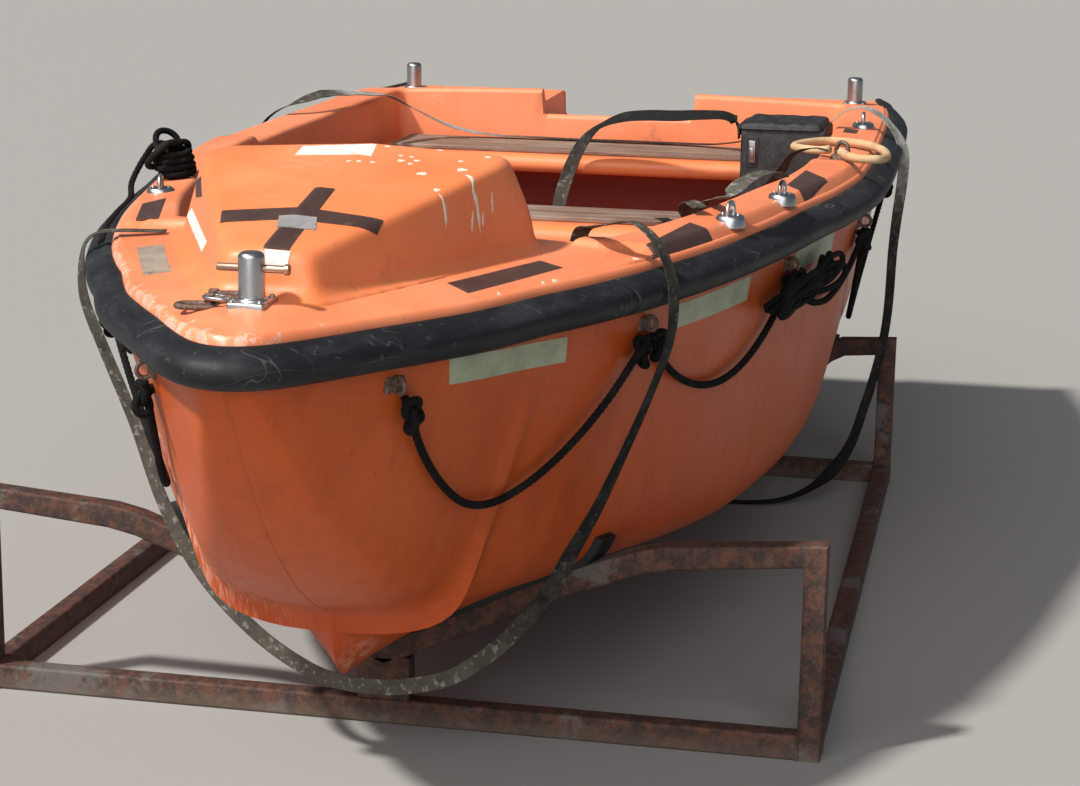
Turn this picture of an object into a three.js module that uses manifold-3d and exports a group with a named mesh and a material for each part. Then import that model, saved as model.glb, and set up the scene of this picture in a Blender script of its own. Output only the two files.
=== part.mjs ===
import * as THREE from "three";
import { mergeVertices } from "three/addons/utils/BufferGeometryUtils.js";
import Module from "manifold-3d";

// Driving dimensions in mm. X runs to the bow, Y to port, Z up from the ground under the cradle.
const STERN = -2150; // aft face of the hull
const NOSE = 2114; // foremost point of the deck edge
const BULKHEAD = 1040; // front wall of the cockpit
const TRANSOM = -1757; // aft wall of the cockpit
const WALL = 12; // hull skin
const SOLE = 520; // height of the cockpit floor
const NOTCH_HALF = 250; // half width of the notch for the motor
const NOTCH_DROP = 30; // notch floor below the deck edge
const FENDER_HIGH = 62;
const FENDER_DEEP = 56;
const GAP = 0.4; // between pieces that touch
const POST_OUT = 965; // outer face of the cradle's posts
const POST = 50; // width of the cradle's square tube
const RAIL_HIGH = 57;
const FRONT_BENT = 1074; // middle of the front bent along X
const REAR_BENT = -1256;
const FRONT_TOP = 482; // top of the front posts
const REAR_TOP = 454;
const RUBBER = 18; // thickness of the strips on the bents
const CORD = 12; // grab line
const STRAP = 38; // width of the lashing webbing
const WEB = 4; // thickness of the webbing

// Height of the deck edge along the boat.
const sheer = (x) => 1054 - 5 * (x / 1000) + 2 * (x / 1000) ** 2;

// Rows from stern to bow: x, deck half width, keel height, chine half width, chine height, half width where the side would meet the chine.
const HULL = [
  [-2150, 815, 205, 620, 368, 705],
  [-1750, 882, 203, 655, 362, 755],
  [-1600, 894, 202, 665, 359, 758],
  [-1281, 903, 200, 674, 355, 756],
  [-1000, 908, 200, 680, 350, 766],
  [-650, 914, 200, 679, 344, 777],
  [-340, 908, 200, 669, 337, 784],
  [0, 868, 200, 638, 331, 768],
  [200, 826, 200, 608, 329, 743],
  [500, 768, 201, 550, 334, 690],
  [800, 699, 203, 453, 350, 594],
  [1000, 640, 205, 377, 364, 498],
  [1099, 606, 207, 342, 366, 445],
  [1200, 569, 209, 294, 368, 388],
  [1300, 527, 211, 228, 372, 330],
  [1400, 480, 222, 137, 392, 285],
  [1470, 443, 285, 54, 425, 253],
  [1490, 432, 378, 5, 386, 240],
  [1600, 384, 438, 5, 445, 206],
  [1700, 336, 500, 5, 507, 177],
  [1800, 272, 582, 5, 589, 143],
  [1900, 202, 682, 5, 689, 108],
  [1990, 142, 800, 5, 807, 84],
  [2050, 98, 890, 4, 896, 62],
  [2090, 60, 960, 4, 965, 42],
  [2108, 30, 1010, 3, 1014, 24],
  [NOSE, 8, 1026, 2, 1029, 7],
];

// Value of a column of HULL at x, in a straight line between rows.
function at(x, column) {
  const last = HULL.length - 1;
  let i = 0;
  while (i < last - 1 && HULL[i + 1][0] < x) i++;
  const [a, b] = [HULL[i], HULL[i + 1]];
  const t = THREE.MathUtils.clamp((x - a[0]) / (b[0] - a[0]), 0, 1);
  return a[column] + (b[column] - a[column]) * t;
}
const beam = (x) => at(x, 1);

// Closed body through rings of equal length, with both ends capped.
function loft(rings) {
  const n = rings[0].length;
  const positions = rings.flat(2);
  const index = [];
  for (let r = 0; r + 1 < rings.length; r++)
    for (let i = 0; i < n; i++) {
      const j = (i + 1) % n;
      const [a, b, c, d] = [r * n + i, r * n + j, (r + 1) * n + j, (r + 1) * n + i];
      index.push(a, b, c, a, c, d);
    }
  const cap = (ring, start, sign) => {
    const spans = [0, 1, 2].map((k) => Math.max(...ring.map((p) => p[k])) - Math.min(...ring.map((p) => p[k])));
    const flat = spans.indexOf(Math.min(...spans));
    const outline = ring.map((p) => new THREE.Vector2(p[(flat + 1) % 3], p[(flat + 2) % 3]));
    const whole = THREE.ShapeUtils.area(outline) * sign;
    for (const [a, b, c] of n === 4 ? [[0, 1, 2], [0, 2, 3]] : THREE.ShapeUtils.triangulateShape([...outline], [])) {
      const same = n === 4 ? sign > 0 : THREE.ShapeUtils.area([outline[a], outline[b], outline[c]]) * whole > 0;
      index.push(start + a, start + (same ? b : c), start + (same ? c : b));
    }
  };
  // The side faces run along the ring, so the first cap turns against it and the last with it.
  cap(rings[0], 0, -1);
  cap(rings[rings.length - 1], (rings.length - 1) * n, 1);
  const g = new THREE.BufferGeometry();
  g.setAttribute("position", new THREE.Float32BufferAttribute(positions, 3));
  g.setIndex(index);
  return g;
}

const wasm = await Module();
wasm.setup();

function solidOf(geometry) {
  const bare = geometry.clone();
  bare.deleteAttribute("normal");
  bare.deleteAttribute("uv");
  const merged = mergeVertices(bare, 1e-3);
  const tri = new Uint32Array(merged.index.array);
  const make = () => new wasm.Manifold(new wasm.Mesh({ numProp: 3, vertProperties: merged.attributes.position.array, triVerts: tri }));
  let made = make();
  if (made.volume() < 0) {
    for (let i = 0; i < tri.length; i += 3) [tri[i + 1], tri[i + 2]] = [tri[i + 2], tri[i + 1]];
    made = make();
  }
  return made;
}
function geometryOf(solid) {
  const mesh = solid.getMesh();
  const g = new THREE.BufferGeometry();
  const stride = mesh.numProp;
  const xyz = new Float32Array((mesh.vertProperties.length / stride) * 3);
  for (let i = 0; i < xyz.length / 3; i++) for (let k = 0; k < 3; k++) xyz[3 * i + k] = mesh.vertProperties[i * stride + k];
  g.setAttribute("position", new THREE.BufferAttribute(xyz, 3));
  g.setIndex(new THREE.BufferAttribute(new Uint32Array(mesh.triVerts), 1));
  return g;
}

const root = new THREE.Group();
const plain = new THREE.MeshStandardMaterial();
function piece(name, solid) {
  const mesh = new THREE.Mesh(solid.isBufferGeometry ? solid : geometryOf(solid), plain);
  mesh.name = name;
  root.add(mesh);
  return mesh;
}
const box = (x0, x1, y0, y1, z0, z1) => {
  const g = new THREE.BoxGeometry(x1 - x0, y1 - y0, z1 - z0);
  g.translate((x0 + x1) / 2, (y0 + y1) / 2, (z0 + z1) / 2);
  return solidOf(g);
};
const sum = (...solids) => solids.reduce((a, b) => a.add(b));
// Prism of a YZ outline between two x values.
const slab = (outline, x0, x1) => solidOf(loft([outline.map(([y, z]) => [x0, y, z]), outline.map(([y, z]) => [x1, y, z])]));
// Prism of an XY outline between two heights, where a height may be a function of x.
const prism = (outline, z0, z1) => solidOf(loft([z0, z1].map((z) => outline.map(([x, y]) => [x, y, typeof z === "function" ? z(x, y) : z]))));
const mirrorY = (solid) => solid.mirror([0, 1, 0]);
const turned = (profile, sides = 24) => solidOf(new THREE.LatheGeometry(profile.map(([r, z]) => new THREE.Vector2(r, z)), sides).rotateX(Math.PI / 2));
const rod = (from, to, radius, sides = 16) => {
  const [a, b] = [new THREE.Vector3(...from), new THREE.Vector3(...to)];
  const g = new THREE.CylinderGeometry(radius, radius, a.distanceTo(b), sides);
  g.applyQuaternion(new THREE.Quaternion().setFromUnitVectors(new THREE.Vector3(0, 1, 0), b.clone().sub(a).normalize()));
  g.translate(...a.add(b).multiplyScalar(0.5).toArray());
  return solidOf(g);
};
// Round tube along a smooth line through points.
function tube(points, radius, sides = 8, spacing = 5 * radius) {
  const curve = new THREE.CatmullRomCurve3(points.map((p) => new THREE.Vector3(...p)), false, "centripetal");
  const steps = Math.min(150, Math.max(4, Math.round(curve.getLength() / spacing)));
  const shape = new THREE.Shape(Array.from({ length: sides }, (_, i) => new THREE.Vector2(radius * Math.cos((2 * Math.PI * i) / sides), radius * Math.sin((2 * Math.PI * i) / sides))));
  return solidOf(new THREE.ExtrudeGeometry(shape, { steps, extrudePath: curve, bevelEnabled: false }));
}

// Hull: V bottom to the chine, a quick turn of the bilge, flared side, and an upright band behind the fender.
// The V and the chines run out at the stem, which is round.
const SIDE_STEPS = [0, 0.006, 0.02, 0.06, 0.12, 0.22, 0.38, 0.68, 1];
function section(x, inset, top) {
  const bowShare = THREE.MathUtils.smoothstep(x, 1300, NOSE);
  const px = x - (inset > 0 ? inset * 1.3 * bowShare : inset * 1.6 * bowShare);
  const grow = (v) => Math.max(v - inset, 2);
  const [b, k] = [grow(beam(x)), grow(at(x, 5))];
  const lift = inset * 1.12;
  const keel = at(x, 2) + lift;
  const stem = THREE.MathUtils.clamp((x - 1440) / 50, 0, 1);
  const chineZ = Math.max((at(x, 4) + lift) * (1 - stem) + keel * stem, keel + 1);
  const chineY = Math.min(Math.max((at(x, 3) - inset * 0.9) * (1 - stem), 2), b);
  const power = 1 - 0.5 * THREE.MathUtils.clamp((x - 1360) / 120, 0, 1);
  const bandZ = Math.max(sheer(x) - FENDER_HIGH - 12, chineZ + 8);
  const half = [[chineY, chineZ]];
  for (const t of SIDE_STEPS.slice(1)) {
    const y = chineY + (k - chineY) * (1 - Math.exp(-t / 0.05)) ** power + (b - k) * t;
    half.push([Math.min(y, b), chineZ + (bandZ - chineZ) * t]);
  }
  half.push([b, top(x)]);
  return [[px, 0, keel], ...half.map(([y, z]) => [px, y, z]), ...half.reverse().map(([y, z]) => [px, -y, z])];
}
const X_ROWS = HULL.map((row) => row[0]);
const hullBody = (inset, top, from = STERN, rows = X_ROWS) => {
  const xs = rows.filter((x) => x > from && (inset <= 0 || beam(x) > inset + 6));
  return solidOf(loft([from, ...xs].map((x) => section(x, inset, top))));
};
const outer = hullBody(0, sheer);
const inner = hullBody(WALL, (x) => sheer(x) + 60, STERN + 30);
const motorNotch = prism([[-2300, -NOTCH_HALF], [TRANSOM + 8, -NOTCH_HALF], [TRANSOM + 8, NOTCH_HALF], [-2300, NOTCH_HALF]], (x) => sheer(x) - NOTCH_DROP, 1500);
piece("hull_shell", outer.subtract(inner).subtract(motorNotch));

// Deck: the filled body inside the hull, with a crowned cap whose rolled edge lies over the hull's top edge.
const camber = (x) => 20 + 6 * THREE.MathUtils.smoothstep(x, 900, 1900);
// The aft deck lies at the height of the deck edge, behind the raised top of the cockpit's aft wall.
const raised = (x) => THREE.MathUtils.smoothstep(x, -1830, -1785);
function deckRise(x, y) {
  const b = Math.max(beam(x), 8);
  const u = Math.min(Math.abs(y) / (b - Math.min(26, b * 0.5)), 1);
  return 6 + raised(x) * (26 + camber(x) * (1 - u * u));
}
function capRing(x) {
  const b = Math.max(beam(x), 8);
  const s = sheer(x);
  const inset = Math.min(26, b * 0.5);
  const across = [1, 0.75, 0.45, 0.15].map((u) => [u * (b - inset), s + deckRise(x, u * (b - inset))]);
  const half = [[b, s + GAP], [b, s + 2 + 10 * raised(x)], [b - inset * 0.3, s + 5 + 19 * raised(x)], ...across];
  return [...half.map(([y, z]) => [x, y, z]), ...half.reverse().map(([y, z]) => [x, -y, z])];
}
const cap = solidOf(loft([...X_ROWS, -1830, -1810, -1785].sort((a, b) => a - b).map(capRing)));
const core = hullBody(WALL + 0.6, (x) => sheer(x) + 1.5, STERN + 30.6);
const PANEL_X = [-355, -340, 0, 200, 500, 800, 1000, 1085, 1100];
const panel = solidOf(loft(PANEL_X.map((x, i) => {
  const [b, s] = [beam(x), sheer(x)];
  const high = i === 0 || i === PANEL_X.length - 1 ? 36 : 56;
  return [[x, b - 9, s + 10], [x, b - 9, s + high - 14], [x, b - 22, s + high], [x, b - 200, s + high], [x, b - 200, s + 10]];
})));
const rim = (x) => beam(x) - (x > 700 ? 140 + (x - 700) * 0.05 : x > -100 ? 135 : 150);
function cockpitRoom(shrink) {
  return solidOf(loft([TRANSOM + shrink, -1600, -1281, -1000, -650, -340, 0, 200, 500, 800, 950, BULKHEAD - shrink].map((x) => {
    const [w, low, f] = [rim(x) - shrink, Math.min(rim(x) - 40, at(x, 5) - 60) - shrink, SOLE + shrink];
    return [[x, w, 1300], [x, w, sheer(x) - 60], [x, low, f + 60], [x, low - 50, f], [x, -low + 50, f], [x, -low, f + 60], [x, -w, sheer(x) - 60], [x, -w, 1300]];
  })));
}
const cockpit = cockpitRoom(0);
const cockpitClear = cockpitRoom(GAP);
const stowage = box(BULKHEAD + 40, 1480, -180, 180, 640, 1300);
const doorway = box(BULKHEAD - 5, BULKHEAD + 60, -160, 160, 680, 930);
const deckTop = sum(cap, panel, mirrorY(panel));
const deck = sum(deckTop, core).subtract(cockpit).subtract(motorNotch).subtract(stowage).subtract(doorway);
// The moulding is in three lengths, which meet at the front and aft walls of the cockpit.
const lengthOf = (x0, x1) => deck.intersect(box(x0, x1, -1200, 1200, 0, 1500));
piece("deck_moulding_fore", lengthOf(BULKHEAD, NOSE + 200));
piece("deck_moulding", lengthOf(TRANSOM + GAP, BULKHEAD - GAP));
piece("deck_moulding_aft", lengthOf(STERN - 200, TRANSOM));

// House on the foredeck: sloped front, sides that lean in, a crowned roof whose crease runs from the middle of the slope to both aft corners.
const HOUSE_BASE = [[1900, 92], [1885, 112], [1500, 272], [1230, 380], [1185, 382], [1140, 352]];
const HOUSE_TOP = [[1872, 88, 132], [1856, 108, 134], [1300, 276, 217], [1215, 290, 216], [1168, 262, 216], [1160, 0, 247], [1534, 0, 207], [1880, 0, 133]];
function houseBody(inset) {
  const s = 1054;
  const points = [];
  const back = (x) => (x < 1300 ? inset : x > 1800 ? -inset : 0);
  for (const side of [1, -1]) {
    for (const [x, y] of HOUSE_BASE) points.push([x + back(x), side * (y - inset), s + (inset ? 0 : 10)]);
    for (const [x, y, z] of HOUSE_TOP) points.push([x + back(x), side * Math.max(y - inset, 0), s + z - inset]);
  }
  return wasm.Manifold.hull(points);
}
const houseShell = houseBody(0).subtract(houseBody(12));
piece("house", houseShell.subtract(deckTop.translate([0, 0, GAP])).subtract(core));

const outerGrown = hullBody(-GAP, (x) => sheer(x) + 1);

// Fender: D section round the deck edge in five lengths.
function fenderRing(x, y, nx, ny, seam) {
  const s = sheer(x) - 2 - FENDER_HIGH / 2;
  const [h, d] = [FENDER_HIGH / 2, FENDER_DEEP];
  const profile = [[-3, -h + 4], [12, -h], [d * 0.62, -h * 0.86], [d * 0.93, -h * 0.48], [d, 0], [d * 0.93, h * 0.48], [d * 0.62, h * 0.86], [12, h], [-3, h - 4]];
  return profile.map(([u, v]) => [x + nx * u + (seam || 0), y + ny * u, s + v]);
}
function fender(name, stations) {
  const path = stations.map(([x, side]) => [x, side * beam(x)]);
  const rings = path.map(([x, y], i) => {
    const [p, q] = [path[Math.max(i - 1, 0)], path[Math.min(i + 1, path.length - 1)]];
    let [tx, ty] = [q[0] - p[0], q[1] - p[1]];
    const length = Math.hypot(tx, ty);
    [tx, ty] = [tx / length, ty / length];
    // The bow piece runs from port round the nose to starboard, the others from bow to stern on their own side.
    const side = stations[i][1];
    let [nx, ny] = [-ty, tx];
    if (stations.round ? nx < 0 : ny * side < 0) [nx, ny] = [-nx, -ny];
    const ends = i === 0 || i === path.length - 1;
    if (ends && !stations.round) [nx, ny] = [0, side];
    if (ends && stations.round) [nx, ny] = [0, side];
    return fenderRing(x, y, nx, ny);
  });
  piece(name, solidOf(loft(rings)).subtract(outerGrown));
}
const JOIN_BOW = 1300;
const JOIN_QUARTER = -650;
const TAIL = -(NOSE + FENDER_DEEP); // the fenders end as far aft as their front lies forward
const noseRows = X_ROWS.filter((x) => x > JOIN_BOW);
const bowPath = [JOIN_BOW + 0.3, ...noseRows].map((x) => [x, 1]).concat([JOIN_BOW + 0.3, ...noseRows].reverse().map((x) => [x, -1]));
bowPath.round = true;
fender("fender_bow", bowPath);
for (const [side, word] of [[1, "port"], [-1, "stbd"]]) {
  fender(`fender_${word}`, [JOIN_BOW - 0.3, ...X_ROWS.filter((x) => x < JOIN_BOW && x > JOIN_QUARTER).reverse(), JOIN_QUARTER + 0.3].map((x) => [x, side]));
  fender(`fender_quarter_${word}`, [JOIN_QUARTER - 0.3, ...X_ROWS.filter((x) => x < JOIN_QUARTER).reverse(), TAIL].map((x) => [x, side]));
}

// Benches: boards with a rounded lip, and slats of wood on top.
function bench(name, x0, x1, top, lip, slats) {
  const w = 900;
  const board = slab([[-w, top - lip], [-w, top], [w, top], [w, top - lip]], x0, x1 - 14);
  const nose = rod([x1 - 16, -w, top - lip / 2], [x1 - 16, w, top - lip / 2], lip / 2, 20);
  piece(name, sum(board, nose).intersect(cockpitClear));
  const pitch = (x1 - x0 - 70) / slats;
  const narrow = Math.min(rim(x0), rim(x1)) - 40;
  const deckBoard = box(x0 + 20, x1 - 50, -narrow, narrow, top + GAP, top + GAP + 14);
  let cuts = deckBoard;
  for (let i = 1; i < slats; i++) cuts = cuts.subtract(box(x0 + 20 + i * pitch - 3, x0 + 20 + i * pitch + 3, -w, w, top + GAP + 6, top + 60));
  piece(`${name}_slats`, cuts);
}
bench("mid_thwart", -360, -100, 940, 80, 3);
bench("aft_thwart", TRANSOM + 1, -1420, 945, 55, 4);

// Console on the port side, with a lid hinged along its outer edge on a round barrel.
const [CX0, CX1, CY0, CY1] = [-1395, -1150, 480, 735];
const consoleBody = box(CX0, CX1, CY0, CY1, SOLE + GAP, 1086).subtract(box(CX0 + 12, CX1 - 12, CY0 + 12, CY1 - 12, SOLE + 60, 1200));
piece("console", consoleBody.intersect(cockpitClear));
const lidBody = sum(
  box(CX0 - 8, CX1 + 8, CY0 - 8, CY1 - 8, 1086.8, 1108),
  rod([CX0 + 15, CY1 - 6, 1090.2], [CX1 - 15, CY1 - 6, 1090.2], 3.6),
  box(CX0 + 20, CX1 - 20, CY0 - 8, CY0 - 2, 1060, 1100).translate([0, -3, 0]),
);
piece("console_lid", lidBody);

// Door of the bow stowage, hinged on a barrel along its lower edge on the front wall of the cockpit.
piece("bow_stowage_door", sum(box(BULKHEAD - 17, BULKHEAD - 0.8, -180, 180, 660, 948), rod([BULKHEAD - 4.8, -165, 658.5], [BULKHEAD - 4.8, 165, 658.5], 3.8)));

// Bollards, with a through pin at the bow.
const onDeck = (solid, x, y, z) => solid.translate([x, y, z]);
const post = (high, r) => turned([[0, 0], [r, 0], [r, high - 12], [r - 4, high - 4], [r - 12, high], [0, high]]);
const BOW_X = 1956;
const deckZ = (x, y = 0) => sheer(x) + deckRise(x, y);
const bowBase = deckZ(BOW_X) + 2;
const plate = box(-42, 42, -34, 34, -16, 4);
const pinZ = bowBase + 62;
const bowPost = onDeck(sum(post(92, 24), plate.translate([0, 0, 2])), BOW_X, 0, bowBase)
  .subtract(rod([BOW_X, -60, pinZ], [BOW_X, 60, pinZ], 7.6));
piece("bow_bollard", bowPost.subtract(deckTop.translate([0, 0, GAP])));
piece("bow_bollard_pin", sum(rod([BOW_X, -64, pinZ], [BOW_X, 64, pinZ], 7.2), turned([[0, -4], [10, -4], [10, 4], [0, 4]]).rotate([90, 0, 0]).translate([BOW_X, 66, pinZ])));
// Link that lies beside the foot of the bow bollard.
const linkLine = new THREE.CatmullRomCurve3([[-32, 0], [-24, 10], [24, 12], [36, 0], [24, -12], [-24, -10]].map(([u, v]) => new THREE.Vector3(u, v, 0)), true, "centripetal");
piece("bow_link", solidOf(new THREE.TubeGeometry(linkLine, 32, 4.5, 8, true)).rotate([0, 0, 96]).translate([1966, -92, deckZ(1966, 92) + 5.5]).subtract(deckTop));
for (const [side, word] of [[1, "port"], [-1, "stbd"]]) {
  const [x, y] = [-2001, side * 752];
  const z = deckZ(x, Math.abs(y)) + 4;
  const stern = onDeck(sum(post(88, 25), box(-38, 38, -38, 38, -6.5, 4)), x, y, z);
  piece(`stern_bollard_${word}`, stern.subtract(deckTop.translate([0, 0, GAP])));
}

// Deck eyes: a plate with a low arch.
const arch = (span, high, r) => tube([[-span / 2, 0, -4], [-span / 2, 0, high * 0.6], [-span / 4, 0, high], [span / 4, 0, high], [span / 2, 0, high * 0.6], [span / 2, 0, -4]], r, 8, 8);
const eye = (span, high, r) => sum(box(-span / 2 - 14, span / 2 + 14, -14, 14, -10, 4), arch(span, high, r));
const DECK_EYES = [["deck_eye_port_fore", 712, 688, 56], ["deck_eye_port_aft", 355, 764, 56], ["deck_eye_port_quarter", -1215, 838, 42], ["deck_eye_stbd", 690, -650, 56]];
const slopeTurn = (x) => (Math.atan2(beam(x + 50) - beam(x - 50), 100) * 180) / Math.PI;
for (const [name, x, y, up] of DECK_EYES) {
  const turn = Math.sign(y) * slopeTurn(x);
  piece(name, eye(40, 30, 5).rotate([0, 0, turn]).translate([x, y, sheer(x) + up + GAP + 1]).subtract(deckTop.translate([0, 0, GAP])));
}
const loopZ = sheer(-470) + 58;
piece("deck_shackle", eye(36, 34, 6).rotate([0, 0, 60]).translate([-461, 837, loopZ - 10]).subtract(deckTop.translate([0, 0, GAP])));

// Eyes for the grab lines, on the hull side just under the fender.
const LINE_EYES = [1850, 1170, 400, -300, -1370];
const LINE_DROPS = [280, 175, 120, 330];
const eyeZ = (x) => sheer(x) - FENDER_HIGH - 36;
function sideY(x, z) {
  const ring = section(x, 0, sheer).slice(1, 1 + SIDE_STEPS.length + 1);
  for (let i = 1; i < ring.length; i++)
    if (ring[i][2] >= z) {
      const t = (z - ring[i - 1][2]) / (ring[i][2] - ring[i - 1][2]);
      return ring[i - 1][1] + (ring[i][1] - ring[i - 1][1]) * t;
    }
  return beam(x);
}
const linePoints = {};
for (const [side, word] of [[1, "port"], [-1, "stbd"]]) {
  linePoints[word] = LINE_EYES.map((x, i) => {
    const z = eyeZ(x);
    const y = sideY(x, z);
    const turn = Math.atan2(beam(x + 30) - beam(x - 30), 60);
    const ring = new THREE.TorusGeometry(15, 4.5, 8, 16).rotateY(Math.PI / 2);
    ring.translate(0, 15, 0);
    const pad = sum(solidOf(ring), box(-22, 22, -8, 5, -16, 16)).rotate([0, 0, (turn * 180) / Math.PI]).translate([x, y + 0.5, z]);
    const placed = side > 0 ? pad : mirrorY(pad);
    piece(`line_eye_${word}_${i + 1}`, placed.subtract(outerGrown));
    return [x, side * (y + 24), z];
  });
}

// Grab lines: loops that hang between the eyes, outside the hull.
function loops(word, side) {
  const eyes = linePoints[word];
  for (let i = 0; i + 1 < eyes.length; i++) {
    const [a, b] = [eyes[i], eyes[i + 1]];
    const points = [];
    const drop = LINE_DROPS[i];
    for (let k = 0; k <= 8; k++) {
      const t = k / 8;
      const x = THREE.MathUtils.lerp(a[0], b[0], t) + (t === 0 ? -6 : t === 1 ? 6 : 0);
      const z = THREE.MathUtils.lerp(a[2], b[2], t) - 26.5 - drop * (1 - (2 * t - 1) ** 2);
      points.push([x, side * (Math.max(sideY(x, z), sideY(x, z + 30)) + 14), z]);
    }
    piece(`grab_line_${word}_${i + 1}`, tube(points, CORD / 2, 8, 30));
  }
}
loops("port", 1);
loops("stbd", -1);

// Cradle: rails and cross members of square tube, posts, V bents and rubber strips that follow the bottom.
const inside = POST_OUT - POST;
for (const [side, word] of [[1, "port"], [-1, "stbd"]])
  piece(`cradle_rail_${word}`, box(REAR_BENT + POST / 2 + GAP, FRONT_BENT - POST / 2 - GAP, ...(side > 0 ? [inside, POST_OUT] : [-POST_OUT, -inside]), 0, RAIL_HIGH));
function bent(word, x, top, arm) {
  const [x0, x1] = [x - POST / 2, x + POST / 2];
  const low = arm.map(([y, z]) => [y === 0 ? 0 : y + 12, z - 52]).reverse();
  const outline = [[POST_OUT, 0], [POST_OUT, top], ...arm, ...low, [inside, top - 52], [inside, 0]];
  const frame = slab(dedupe(outline), x0, x1);
  const foot = box(x0, x1, -60, 60, RAIL_HIGH + GAP, arm[arm.length - 1][1] - 20);
  piece(`cradle_${word}_bent`, sum(frame, mirrorY(frame), foot).subtract(hullBody(-RUBBER - GAP, (v) => sheer(v) + 1)));
  piece(`cradle_${word}_member`, box(x0, x1, -inside + GAP, inside - GAP, 0, RAIL_HIGH));
  const grown = hullBody(-RUBBER, (v) => sheer(v) + 1);
  return grown.intersect(box(x0 + 2, x1 - 2, -arm[0][0] + 20, arm[0][0] - 20, 0, arm[0][1] + 12)).subtract(outerGrown);
}
function dedupe(points) {
  return points.filter((p, i) => {
    const q = points[(i + 1) % points.length];
    return Math.hypot(p[0] - q[0], p[1] - q[1]) > 0.01;
  });
}
const frontArm = [[625, 456], [562, 442], [393, 380], [301, 335], [0, 187]];
const rearArm = [[800, 446], [760, 425], [675, 342], [0, 181]];
const frontStrip = bent("front", FRONT_BENT, FRONT_TOP, frontArm);
const rearStrip = bent("rear", REAR_BENT, REAR_TOP, rearArm);
piece("cradle_front_rubber", frontStrip);
piece("cradle_rear_rubber", rearStrip);

// Webbing: a flat strap along a smooth line. Each point ends with the direction that the strap's face looks in.
const [UP, PORT, STBD, BOW] = [[0, 0, 1], [0, 1, 0], [0, -1, 0], [1, 0, 0]];
function webbing(name, points, wide = STRAP) {
  const curve = new THREE.CatmullRomCurve3(points.map((p) => new THREE.Vector3(...p.slice(0, 3))), false, "centripetal");
  const steps = Math.max(8, Math.round(curve.getLength() / 36));
  const rings = Array.from({ length: steps + 1 }, (_, i) => {
    const [at, t] = [curve.getPointAt(i / steps), curve.getTangentAt(i / steps)];
    const f = curve.getUtoTmapping(i / steps) * (points.length - 1);
    const j = Math.min(Math.floor(f), points.length - 2);
    const face = new THREE.Vector3(...points[j][3]).lerp(new THREE.Vector3(...points[j + 1][3]), f - j);
    const w = face.cross(t).normalize();
    const n = t.clone().cross(w).normalize();
    return [[1, 1], [-1, 1], [-1, -1], [1, -1]].map(([a, b]) => at.clone().addScaledVector(w, (a * wide) / 2).addScaledVector(n, (b * WEB) / 2).toArray());
  });
  piece(name, solidOf(loft(rings)));
}

// The lashing over the bow: from the front wall of the cockpit over the port deck edge, loose under the
// forefoot and up over the starboard deck edge to the foot of the house.
webbing("strap_bow", [
  [1017, 395, 880, [-1, 0, 0]], [1017, 398, 1020, [-1, 0, 0]], [1023, 405, 1085, [-1, 0, 0.2]], [1042, 418, 1118, [-0.7, -0.2, 0.8]], [1100, 455, 1136, UP],
  [1160, 503, 1152, UP], [1190, 550, 1163, [0, 0.3, 1]], [1200, 597, 1132, [0, 1, 0.4]], [1200, 628, 1072, PORT], [1200, 638, 1020, PORT],
  [1203, 634, 930, [0.3, 1, 0]], [1212, 604, 830, [0.6, 1, 0]], [1230, 548, 690, [1, 0.6, 0]], [1250, 495, 565, [1, 0.3, 0]], [1270, 450, 480, BOW], [1292, 412, 405, BOW],
  [1312, 363, 338, BOW], [1326, 288, 263, BOW], [1331, 209, 209, BOW], [1332, 128, 184, BOW], [1332, 47, 174, BOW], [1332, -52, 184, BOW], [1331, -120, 211, BOW],
  [1326, -202, 260, BOW], [1306, -298, 336, BOW], [1286, -375, 420, BOW], [1262, -440, 520, [1, -0.3, 0]], [1237, -508, 680, [1, -0.6, 0]], [1216, -580, 830, [0.6, -1, 0]],
  [1200, -634, 950, [0.3, -1, 0]], [1200, -637, 1022, STBD], [1200, -626, 1066, STBD], [1200, -597, 1088, [0, -0.5, 1]], [1200, -550, 1095, UP],
  [1192, -500, 1096, UP], [1180, -452, 1096, UP],
]);

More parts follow.
